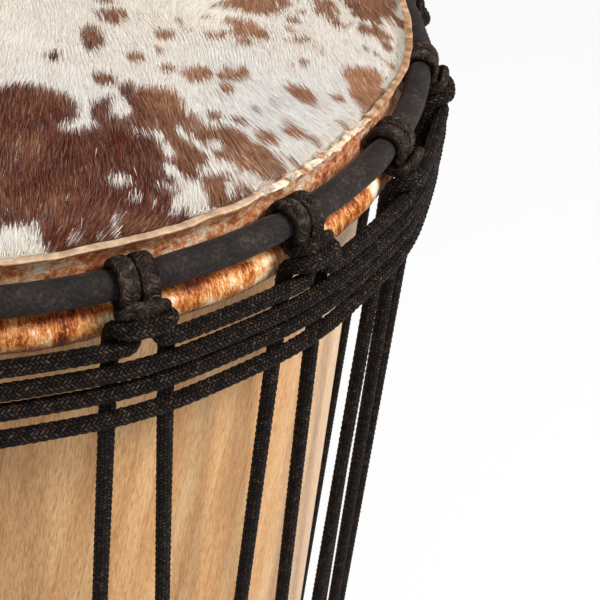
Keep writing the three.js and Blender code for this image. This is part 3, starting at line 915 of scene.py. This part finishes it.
def fold_tone(end, angle, rise):
    """How pale the fold is, from 0 to 1: dark low and high, with pale streaks and patches."""
    ring = on_circle(angle, FOLD_MIDDLE)
    lit = 0.3 * grain(ring, 13, end.seed + 20) + 0.16 * grain(ring, 4, end.seed + 21)
    # Painted shade: darker along the fold's lower edge, and along its upper edge where the sleeve
    # shades it.
    low = smooth_step(-14.5, -18, rise)
    high = smooth_step(-10, -7.5, rise)
    # Painted highlights: the fold is pale just before and just after each hitch.
    phase = np.mod(hitch_phase(end, angle), 1)
    patch = smooth_step(0.72, 0.8, phase) * smooth_step(0.92, 0.84, phase)
    patch *= smooth_step(-0.1, 0.4, grain(ring, 40, end.seed + 22) + 0.3)
    tight = smooth_step(0.28, 0.2, phase)
    tone = 0.5 + lit - 0.5 * low - 0.3 * high + 0.55 * patch + 0.2 * tight
    # Painted light: round to the right, on the side the key light comes from, the fold is paler.
    tone += 0.32 * smooth_step(-36, -22, np.degrees(angle)) * smooth_step(25, 5, np.degrees(angle))
    # Painted shade in the creases that run over the fold.
    crease_shade = smooth_step(0.45, 0.75, crease_at(end, angle, rise))
    return np.clip(tone - 0.35 * crease_shade, 0, 1.1)


def paint_hide(piece, end):
    """Hair side within, a bare cut at the collar's top, and the rough flesh side outside."""
    mesh = piece.data
    middles = read_vectors(mesh.polygons, "center") / MM
    normals = read_vectors(mesh.polygons, "normal")
    radius, angle = round_place(middles)
    outward = (normals[:, :2] * on_circle(angle, 1)).sum(1)
    rise = end.out * (middles[:, 2] - end.plane)
    slot = np.where(radius < VALLEY, HAIR_SIDE, FOLD_SIDE)
    slot[(radius > FLESH_FROM) & (rise > -6) & (outward > 0)] = FLESH_SIDE
    slot[(radius > VALLEY) & (rise > 6.5) & (outward < 0)] = HAIR_SIDE
    slot[(radius > FUR_EDGE) & (rise > 9.85)] = CUT_SIDE
    mesh.polygons.foreach_set("material_index", slot.astype(np.int32))
    mesh.update()


# Hair

def lay_hair(name, roots, normals, lie, length, width, lift, values, material, end):
    """Short hairs that lie on a skin. Each is a slim closed spike with a low ridge along its back."""
    normals = unit(normals)
    lie = unit(lie - normals * (lie * normals).sum(1, keepdims=True))
    side = np.cross(lie, normals)
    length, width, lift = length[:, None], width[:, None], lift[:, None]
    half = side * width / 2
    back = roots + normals * width * 0.12 + lie * length * 0.2
    tips = roots + lie * length * np.cos(lift) + normals * length * np.sin(lift)
    # No hair stands above the trimmed collar.
    highest = end.plane + end.out * (COLLAR_RISE - 0.1)
    tips[:, 2] = np.minimum(tips[:, 2] * end.out, highest * end.out) * end.out
    points = np.stack([roots - half, roots + half, back, tips], 1).reshape(-1, 3)
    left, right, ridge, tip = (np.arange(len(roots)) * 4 + i for i in range(4))
    sides = [(left, ridge, tip), (ridge, right, tip), (left, tip, right), (left, right, ridge)]
    faces = np.concatenate([np.stack(side, 1) for side in sides])
    spread = {key: np.repeat(value, 4) for key, value in values.items()}
    # A hair is darker at its root and pales towards its tip: partly its own colour, partly painted
    # shade at the root, which lies under other hairs.
    spread["shade"] = np.clip(spread["shade"] + np.tile([-0.1, -0.1, 0.0, 0.12], len(roots)), 0, 1)
    return make_mesh(name, points, faces, material, values=spread, smooth=False)


def fur_roots(end, far, angle):
    """Places on the fur's surface, the way up from it, and the radius at which the hide is cut."""
    trim, drop, lean = collar_shape(end, angle)
    edge = FUR_EDGE + CUT_EDGE - trim + lean
    places, rises = np.array(FUR_PROFILE).T
    rise = np.interp(far, places, rises)
    slope = (np.interp(far + 0.3, places, rises) - np.interp(far - 0.3, places, rises)) / 0.6
    past = far > VALLEY
    share = np.clip((far - VALLEY) / (FUR_EDGE - VALLEY), 0, 1)
    radius = np.where(past, VALLEY + share * (edge - VALLEY), far)
    rise = rise - past * smooth_step(6.0, 9.8, rise) * drop - 0.05
    outward = on_circle(angle, 1)
    normals = np.column_stack([-outward * slope[:, None], np.full(len(far), float(end.out))])
    return on_end(end, angle, radius, rise), normals, edge


def head_hair(end, name, count, reach, size, thick, seed):
    """A layer of the coat between two distances from the drum's axis."""
    draw = np.random.default_rng(seed)
    number = np.arange(count) + draw.random(count)
    far = np.sqrt(reach[0] ** 2 + (reach[1] ** 2 - reach[0] ** 2) * number / count)
    angle = np.arange(count) * math.pi * (3 - math.sqrt(5)) + draw.normal(0, 0.25, count) / far
    angle = np.mod(angle + math.pi, TURN) - math.pi
    roots, normals, edge = fur_roots(end, far, angle)
    x, y = roots[:, 0], roots[:, 1]
    flat = np.stack([x, y], 1)
    clump = 0.1 * grain(flat, 4.5, end.seed + 101) + 0.07 * grain(flat, 1.8, seed + 102)
    heading = lie_at(end, x, y) + clump + draw.normal(0, 0.06, count)
    way = np.stack([np.cos(heading), np.sin(heading)], 1)
    lie = np.column_stack([way, np.zeros(count)])
    length = draw.normal(size, size * 0.16, count)
    # Hair was trimmed with the hide, so only a few reach past its edge.
    outwards_share = (way * on_circle(angle, 1)).sum(1)
    room = (edge + draw.normal(0.1, 0.35, count) - np.hypot(x, y)) / np.maximum(outwards_share, 0.05)
    stray = draw.random(count) < 0.02
    length = np.where(stray | (outwards_share < 0.05), length, np.clip(room, 0.5, length))
    # A hair takes the coat's colour at its middle, which is where it shows.
    x, y = x + way[:, 0] * length * 0.5, y + way[:, 1] * length * 0.5
    full = coat_at(end, x, y)
    # Hairs of one colour stand together in streaks, so that patches end in wisps.
    streak = grain(np.stack([x * 2.4, y * 0.5], 1), 2.2, end.seed + 110)
    fuzzy = full + (0.05 + 0.8 * full * (1 - full)) * streak + draw.normal(0, 0.1, count)
    is_brown = draw.random(count) < smooth_step(0.1, 0.86, fuzzy)
    shade = draw.normal(0.55, np.where(is_brown, 0.16, 0.09), count)
    shade += np.where(is_brown, 0.16, 0.1) * grain(np.stack([x * 2.5, y], 1), 3, seed + 100)
    tone = np.where(is_brown, tone_at(end, x, y), warmth_at(end, x, y))
    values = {
        "coat": np.clip(0.7 * is_brown + 0.3 * full + draw.normal(0, 0.05, count), 0, 1),
        "shade": np.clip(shade, 0, 1),
        "tone": np.clip(tone + draw.normal(0, 0.1, count), 0, 1),
    }
    width = draw.normal(thick, thick * 0.2, count)
    lift = np.abs(draw.normal(0.015, 0.015, count)) + 0.03 * smooth_step(149, 152, far)
    piece = lay_hair(name, roots, normals, lie, length, width, lift, values, coat, end)
    return keep(piece, "hide")


def edge_tufts(end, name, count, seed):
    """Pale tufts of torn fibre on the cut edge."""
    draw = np.random.default_rng(seed)
    angle = draw.uniform(-math.pi, math.pi, count * 6)
    lumps = grain(on_circle(angle, COLLAR_MIDDLE), 2.4, end.seed + 95)
    torn = torn_share(end, angle) * smooth_step(-0.2, 0.5, lumps)
    angle = angle[draw.random(len(angle)) < torn][:count]
    count = len(angle)
    trim, drop, lean = collar_shape(end, angle)
    radius = COLLAR_OUTER + COLLAR_LEAN + lean - trim * draw.uniform(0, 1.15, count)
    rise = COLLAR_RISE - drop - 0.5
    roots = on_end(end, angle, radius, rise)
    normals = np.column_stack([draw.normal(0, 0.3, (count, 2)), np.full(count, float(end.out))])
    turn = angle + draw.normal(1.2, 0.6, count)
    lie = np.column_stack([on_circle(turn, 1), np.zeros(count)])
    values = {
        "coat": np.clip(draw.normal(0.14, 0.1, count), 0, 1),
        "shade": np.clip(draw.normal(0.45, 0.25, count), 0, 1),
        "tone": np.ones(count),
    }
    length, width = draw.normal(1.4, 0.4, count), draw.normal(0.2, 0.04, count)
    lift = draw.normal(0.02, 0.1, count)
    piece = lay_hair(name, roots, normals, lie, length, width, lift, values, coat, end)
    return keep(piece, "hide")


# The coats' layers: end, name, number of hairs, nearest and farthest radius, length, width and seed
HAIR_LAYERS = [
    (TOP, "under", 48000, (0, 156.0), 5.8, 0.4, 11),
    (TOP, "middle", 48000, (0, 156.2), 6.6, 0.27, 12),
    (TOP, "over", 48000, (0, 155.8), 7.6, 0.21, 15),
    (TOP, "fine", 41000, (0, 155.8), 6.4, 0.17, 19),
    (TOP, "rim", 20000, (143, 156.4), 4.0, 0.26, 16),
    (BOTTOM, "under", 25000, (0, 156.0), 5.6, 0.74, 13),
    (BOTTOM, "over", 25000, (0, 155.8), 7.0, 0.54, 14),
]


def make_coats():
    for end, name, *layer in HAIR_LAYERS:
        head_hair(end, f"{end.name}_hair_{name}", *layer)
    edge_tufts(TOP, "top_edge_tufts", 6000, 17)
    edge_tufts(BOTTOM, "bottom_edge_tufts", 2500, 18)


# Cloth sleeves

def make_sleeve(end):
    """Cloth round the crown ring, plump between the hitches and squeezed under them."""
    outline = at_end(end, arc(CROWN_RADIUS, 0, SLEEVE_RADIUS, 0, 360, 22))
    outline[-1] = outline[0]
    piece = turned(f"{end.name}_sleeve", outline, 456, [cloth])
    points = points_of(piece)
    radius, angle = round_place(points)
    rise = end.out * (points[:, 2] - end.plane)
    phase = hitch_phase(end, angle)
    away = np.abs(phase - np.round(phase)) * HITCH_ANGLE * CROWN_RADIUS
    plump = 0.32 * smooth_step(5.2, 9.5, away) - 0.15 * smooth_step(7.5, 4.5, away)
    plump += 0.1 * grain(points, 7, end.seed + 30)
    scale = 1 + plump / SLEEVE_RADIUS
    new_radius = CROWN_RADIUS + (radius - CROWN_RADIUS) * scale
    set_points(piece, on_end(end, angle, new_radius, rise * scale))
    return keep(piece, "cloth", f"{end.name}_crown_sleeve")


# Rope routes. A station is a place, the way the rope's thickness points, and half its two sizes.

def outwards(angle):
    return np.array([math.cos(angle), math.sin(angle), 0.0])


def beside(end, angle, along, radius, rise):
    """A place at a height, a radius and a step along the ring from an angle."""
    radial = outwards(angle)
    place = radial * radius + np.array([-radial[1], radial[0], 0]) * along
    place[2] = end.plane + end.out * rise
    return place


def facing(end, angle, degrees):
    turn = math.radians(degrees)
    return outwards(angle) * math.cos(turn) + np.array([0, 0, end.out * math.sin(turn)])


def station(at, face, half_thickness=ROPE_RADIUS, half_width=None):
    return np.concatenate([at, face, [half_thickness, half_width or half_thickness]])


def one_side(end, angle, side, rows):
    """Stations to the right of an angle, 1, or to its left, -1.

    A row is a step along the ring, a radius, a rise, the way the thickness points in degrees and,
    where the rope is pressed, half its two sizes.
    """
    return [
        station(beside(end, angle, side * along, radius, rise), facing(end, angle, face), *sizes)
        for along, radius, rise, face, *sizes in rows
    ]


def hitch_rows():
    """Half a cow hitch: from a link up the ring's front, over it, down its back and into the bar."""
    pressed = (PRESSED_HALF, PRESSED_WIDTH)
    rows = [
        (4.8, LINK_RADIUS, -FLESH_DROP, 180),
        (2.9, 170.4, -8.6, 190, 2.1, 2.5),
        (3.1, 168.2, -2.2, -20, *pressed),
    ]
    for degrees in (10, 50, 90, 130, 170, 210, 245):
        turn = math.radians(degrees)
        radius = CROWN_RADIUS + ROUND_RING * math.cos(turn)
        rows.append((TURN_SPREAD, radius, ROUND_RING * math.sin(turn), degrees, *pressed))
    # From the back turn the rope comes out under the ring and up into the crossbar.
    rows += [
        (3.2, 163.6, -5.8, 275, 1.4, 2.6),
        (4.3, 167.4, -6.3, 290, 1.7, 2.6),
        (5.0, 170.4, -4.7, 335, 1.7, 2.9),
        (2.8, 171.7, -3.7, 352, 1.7, 3.1),
    ]
    return rows


def loop_hitch(end, angle):
    """A cow hitch: two turns go up the ring's front and over it, and a crossbar holds their legs."""
    rows = hitch_rows()
    return one_side(end, angle, -1, rows) + one_side(end, angle, 1, rows)[::-1]


def tension_side(end, angle, side):
    """The tension rope comes up behind a link, over it and across the two legs."""
    rows = [
        (VERTICAL_REACH, VERTICAL_RADIUS, -14.0, 180),
        (7.8, 168.4, -10.2, 150),
        (7.2, 171.2, -8.2, 100),
        (4.6, 173.9, -7.5, 40, 2.2, 2.6),
    ]
    return one_side(end, angle, side, rows)


def winding_rise(turns):
    return -FLESH_DROP - WINDING_DROP - WINDING_PITCH * turns - WINDING_SPREAD * turns**2


# How far the tension rope's middle stays from the last link's as it goes round it
EXIT_RADIUS = 4.9


def exit_route():
    """The tension rope goes round the outside of the last link and down to the winding."""
    stations = []
    for degrees_round, degrees, lower in ((3.4, 35, 0), (5.6, -15, 0), (8.2, -55, GAP)):
        angle = REAR_ANGLE - math.radians(degrees_round)
        turn = math.radians(degrees)
        radius = LINK_RADIUS + EXIT_RADIUS * math.cos(turn)
        rise = -FLESH_DROP + EXIT_RADIUS * math.sin(turn) - lower
        stations.append(station(beside(TOP, angle, 0, radius, rise), facing(TOP, angle, degrees)))
    return stations


def winding_stations():
    rest = VERTICAL_REACH + ROPE_RADIUS / 2
    offset = math.atan2(rest, LINK_RADIUS)
    stations = []
    for i in range(1, WINDING_TURNS * HITCHES):
        for side in (1, -1):
            angle = REAR_ANGLE - i * HITCH_ANGLE
            turns = (i * HITCH_ANGLE - side * offset) / TURN
            at = beside(TOP, angle, side * rest, LINK_RADIUS, winding_rise(turns))
            stations.append(station(at, outwards(angle)))
    return stations


def join_at(run):
    """The station at which the tension rope ends and the spare rope starts."""
    start = exit_route()[-1][:3]
    way = unit(winding_stations()[0][:3] - start)
    return station(start + way * run, outwards(REAR_ANGLE))


def knot_turns(centre, axis, start, turns, lead):
    """A coil round an axis, eight stations to a turn."""
    across = np.cross(axis, start)
    stations = []
    for i in range(turns * 8 + 1):
        angle = TURN * i / 8
        face = start * math.cos(angle) + across * math.sin(angle)
        at = centre + axis * (lead + KNOT_PITCH * i / 8) + face * KNOT_RADIUS
        stations.append(station(at, face, KNOT_HALF, ROPE_RADIUS))
    return stations


# Ropes

# The step between rings is one strand's width along the rope.
BRAID_STEP = 1.35
BRAID_SIDES = 16
RELIEF = 0.1
# How far past the last link the tension rope ends and the spare rope starts
JOIN_RUN = 5
# A curve's handle is at most this many times the chord before it, and its fine steps are this long.
HANDLE = 1.3
FINE_STEP = 0.5


def smooth_route(stations, closed):
    """A dense, smooth route through stations, with rings one braid step apart."""
    knots = np.array(stations)
    count = len(knots)
    places = knots[:, :3]
    after = np.roll(places, -1, 0) - places
    if not closed:
        after[-1] = after[-2]
    chord = np.linalg.norm(after, axis=1)
    before = np.roll(after, 1, 0)
    before_chord = np.roll(chord, 1)
    if not closed:
        before[0], before_chord[0] = after[0], chord[0]
    way = unit(unit(after) + unit(before))
    pieces = []
    spans = count if closed else count - 1
    for i in range(spans):
        j = (i + 1) % count
        length = chord[i]
        leave = way[i] * min(length, HANDLE * before_chord[i])
        arrive = way[j] * min(length, HANDLE * (chord[j] if closed or j < count - 1 else length))
        steps = max(4, int(length / FINE_STEP))
        t = np.linspace(0, 1, steps, endpoint=False)[:, None]
        at = (
            (2 * t**3 - 3 * t**2 + 1) * places[i]
            + (t**3 - 2 * t**2 + t) * leave
            + (-2 * t**3 + 3 * t**2) * places[j]
            + (t**3 - t**2) * arrive
        )
        ease = t * t * (3 - 2 * t)
        rest = knots[i, 3:] * (1 - ease) + knots[j, 3:] * ease
        pieces.append(np.hstack([at, rest]))
    dense = np.vstack(pieces + [knots[:1] if closed else knots[-1:]])
    run = np.concatenate([[0], np.cumsum(np.linalg.norm(np.diff(dense[:, :3], axis=0), axis=1))])
    rings = 2 * max(3, round(run[-1] / BRAID_STEP / 2))
    wanted = np.linspace(0, run[-1], rings + 1)
    return np.column_stack([np.interp(wanted, run, dense[:, k]) for k in range(8)])


def rope_mesh(name, route, closed, first=0, sealed=(True, True)):
    """A braided rope along a route. Its points stand high in the strands and low between them."""
    at, face = route[:, :3], route[:, 3:6]
    thick, wide = route[:, 6], route[:, 7]
    if closed:
        at, face, thick, wide = at[:-1], face[:-1], thick[:-1], wide[:-1]
        way = unit(np.roll(at, -1, 0) - np.roll(at, 1, 0))
    else:
        way = unit(np.gradient(at, axis=0))
    across = unit(np.cross(way, face))
    face = np.cross(across, way)
    rings = len(at)
    k, j = np.meshgrid(np.arange(rings), np.arange(BRAID_SIDES), indexing="ij")
    # A rope squeezed on a ring is flat-faced and smoother, and no braid is quite even.
    flat = 1 - smooth_step(1.5, 2.4, thick)
    slack = grain(at, 6, 77) + 0.5 * grain(at, 2.5, 78)
    angle = TURN * j / BRAID_SIDES + 0.1 * slack[:, None]
    relief = (RELIEF * (1 - 0.8 * flat) * (1 + 0.6 * slack))[:, None]
    high = np.where((j + k + first) % 2 == 1, relief, -relief)
    power = (1 - 0.42 * flat)[:, None]
    lean_in = np.sign(np.cos(angle)) * np.abs(np.cos(angle)) ** power
    lean_by = np.sign(np.sin(angle)) * np.abs(np.sin(angle)) ** power
    shrink = np.ones(rings)
    if not closed:
        if sealed[0]:
            shrink[:2] = (0.62, 0.92)
        if sealed[1]:
            shrink[-2:] = (0.92, 0.62)
    points = (
        at[:, None]
        + face[:, None] * (lean_in * (thick[:, None] - RELIEF + high) * shrink[:, None])[..., None]
        + across[:, None] * (lean_by * (wide[:, None] - RELIEF + high) * shrink[:, None])[..., None]
    ).reshape(-1, 3)
    wear = np.repeat(0.5 * flat + 0.07 * slack, BRAID_SIDES)
    spans = rings if closed else rings - 1
    k, j = np.meshgrid(np.arange(spans), np.arange(BRAID_SIDES), indexing="ij")
    k, j = k.ravel(), j.ravel()
    next_k, next_j = (k + 1) % rings, (j + 1) % BRAID_SIDES
    here, beyond = k * BRAID_SIDES, next_k * BRAID_SIDES
    corners = np.stack([here + j, here + next_j, beyond + next_j, beyond + j], 1)
    u = np.stack([j, j + 1, j + 1, j], 1) / BRAID_SIDES
    # The braid's pattern closes where the rope does.
    lay = 4 * round(spans / 4) / spans
    v = np.stack([k, k, k + 1, k + 1], 1) * lay
    # Each square is cut from low corner to low corner, so that the cut lies between two strands.
    low_first = ((j + k + first) % 2 == 0)[:, None]
    pick_a = np.where(low_first, [0, 1, 2], [0, 1, 3])
    pick_b = np.where(low_first, [0, 2, 3], [1, 2, 3])
    pick = np.concatenate([pick_a, pick_b])
    row = np.tile(np.arange(len(corners)), 2)[:, None]
    faces = corners[row, pick]
    uv = np.stack([u[row, pick], v[row, pick]], -1)
    if not closed:
        base = len(points)
        points = np.vstack([points, at[0], at[-1]])
        ring = np.arange(BRAID_SIDES)
        turn = (ring + 1) % BRAID_SIDES
        last = (rings - 1) * BRAID_SIDES
        first_cap = np.stack([np.full(BRAID_SIDES, base), turn, ring], 1)
        last_cap = np.stack([np.full(BRAID_SIDES, base + 1), last + ring, last + turn], 1)
        faces = np.concatenate([faces, first_cap, last_cap])
        uv = np.concatenate([uv, np.full((2 * BRAID_SIDES, 3, 2), 0.25)])
        wear = np.append(wear, [0, 0])
    return make_mesh(name, points, faces, rope, uv=uv, values={"wear": wear})


def make_loop_rope(end):
    stations = []
    for i in range(HITCHES):
        angle = end.turn + i * HITCH_ANGLE
        stations += loop_hitch(end, angle)
        if i == REAR_HITCH:
            middle = angle + HITCH_ANGLE / 2
            at = beside(end, middle, 0, LINK_RADIUS, -FLESH_DROP)
            stations.append(station(at, facing(end, middle, 180)))
            axis = np.cross([0, 0, 1], outwards(middle))
            turns = knot_turns(at, axis, outwards(middle), 3, -1.5 * KNOT_PITCH)
            knot = rope_mesh(f"{end.name}_loop_knot_rope", smooth_route(turns, False), False)
            keep(knot, "rope", f"{end.name}_loop_knot")
    piece = rope_mesh(f"{end.name}_loop_lacing", smooth_route(stations, True), True)
    return keep(piece, "rope", f"{end.name}_loop_rope")


def make_tension_rope():
    """One rope laced down and up round the drum, made in four lengths that meet end to end."""
    first_angle = REAR_ANGLE - HITCH_ANGLE / 2
    knot_rise = -FLESH_DROP - FOLD_OUTER - KNOT_RADIUS - 2 * KNOT_PITCH

    def end_at(rise):
        return beside(BOTTOM, first_angle, VERTICAL_REACH, VERTICAL_RADIUS, rise)

    stations = [station(end_at(knot_rise - KNOT_PITCH), facing(BOTTOM, first_angle, 180))]
    for i in range(HITCHES):
        low = first_angle - i * HITCH_ANGLE
        high = REAR_ANGLE - (i + 1) * HITCH_ANGLE
        stations += tension_side(BOTTOM, low, 1) + tension_side(BOTTOM, low, -1)[::-1]
        stations += tension_side(TOP, high, 1) + tension_side(TOP, high, -1)[::-1]
    stations = stations[:-2] + exit_route() + [join_at(JOIN_RUN)]
    route = smooth_route(stations, False)
    cuts = np.linspace(0, len(route) - 1, 5).round().astype(int)
    for i, (start, stop) in enumerate(itertools.pairwise(cuts)):
        length = route[start : stop + 1]
        sealed = (i == 0, False)
        piece = rope_mesh(f"tension_lacing_{i + 1}", length, False, first=int(start), sealed=sealed)
        keep(piece, "rope", "tension_rope")
    turns = knot_turns(end_at(knot_rise), np.array([0, 0, -1.0]), outwards(first_angle), 2, 0)
    knot = rope_mesh("tension_stopper_knot", smooth_route(turns, False), False)
    keep(knot, "rope", "tension_rope_knot")


def make_spare_rope():
    """The rope's spare length: wound three times round the verticals, and knotted to one of them."""
    stations = [join_at(JOIN_RUN)] + winding_stations()
    share = -winding_rise(WINDING_TURNS) / (TOP_PLANE - BOTTOM_PLANE)
    upright = (VERTICAL_RADIUS, -FLESH_DROP)
    high = beside(TOP, REAR_ANGLE, VERTICAL_REACH, *upright)
    low = beside(BOTTOM, REAR_ANGLE + HITCH_ANGLE / 2, -VERTICAL_REACH, *upright)
    tied = high * (1 - share) + low * share
    down = np.array([0, 0, -1.0])
    turns = knot_turns(tied, down, outwards(REAR_ANGLE), 2, KNOT_PITCH)
    end = turns[-1][:3] + down * TAIL + np.cross(outwards(REAR_ANGLE), [0, 0, 1]) * TAIL / 2
    stations += turns + [station(end, outwards(REAR_ANGLE))]
    route = smooth_route(stations, False)
    piece = rope_mesh("spare_winding", route, False, sealed=(False, True))
    return keep(piece, "rope", "spare_rope")


make_shell()
for drum_end, around in ((TOP, 720), (BOTTOM, 304)):
    make_hide(drum_end, around)
    make_sleeve(drum_end)
    make_loop_rope(drum_end)
    for part in ("flesh_ring", "crown_ring"):
        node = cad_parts[f"{drum_end.name}_{part}"]
        node.data.materials.clear()
        node.data.materials.append(steel)

make_tension_rope()
make_spare_rope()
make_coats()


# Floor, background and light

def make_floor():
    """A white sweep that shows white to the camera, with a faint shadow left in it."""
    material = bpy.data.materials.new("white_paper")
    tree = empty_tree(material)
    seen = add(tree, "LightPath", out="Is Camera Ray")
    rays = seen.node.outputs
    for name in ("Is Glossy Ray", "Is Transmission Ray"):
        both = {0: seen, 1: rays[name]}
        seen = add(tree, "Math", both, operation="ADD", use_clamp=True)
    share = add(tree, "Math", {0: seen, 1: 0.85}, operation="MULTIPLY")
    paper = add(tree, "BsdfDiffuse", {"Color": srgb("#f4f4f4")})
    shine = add(tree, "Emission", {"Strength": 1.0})
    mix = add(tree, "MixShader", {"Fac": share, 1: paper, 2: shine})
    add(tree, "OutputMaterial", {"Surface": mix})
    bpy.ops.object.select_all(action="DESELECT")
    bpy.ops.mesh.primitive_plane_add(size=12, location=(0, 0, -0.0005))
    floor = bpy.context.object
    floor.name = "floor"
    floor.data.materials.append(material)


def make_world():
    """Even white light from all sides, which the camera sees as plain white."""
    world = bpy.data.worlds.new("studio")
    bpy.context.scene.world = world
    tree = empty_tree(world)
    seen = add(tree, "LightPath", out="Is Camera Ray")
    strength = add(tree, "MapRange", {"Value": seen, "To Min": 0.34, "To Max": 1.0})
    shine = add(tree, "Background", {"Color": (1, 1, 1, 1), "Strength": strength})
    add(tree, "OutputWorld", {"Surface": shine})


def add_softbox(name, at, aim, size, power):
    data = bpy.data.lights.new(name, "AREA")
    data.shape = "SQUARE"
    data.size = size
    data.energy = power
    lamp = bpy.data.objects.new(name, data)
    lamp.location = at
    lamp.rotation_euler = (Vector(aim) - Vector(at)).to_track_quat("-Z", "Y").to_euler()
    bpy.context.scene.collection.objects.link(lamp)


make_floor()
make_world()
add_softbox("key", (1.15, -0.72, 1.9), (0, 0, 0.45), 0.7, 46)
add_softbox("fill", (-0.9, -1.5, 1.1), (0, 0, 0.35), 1.2, 5)
bpy.context.scene.view_settings.view_transform = "Standard"
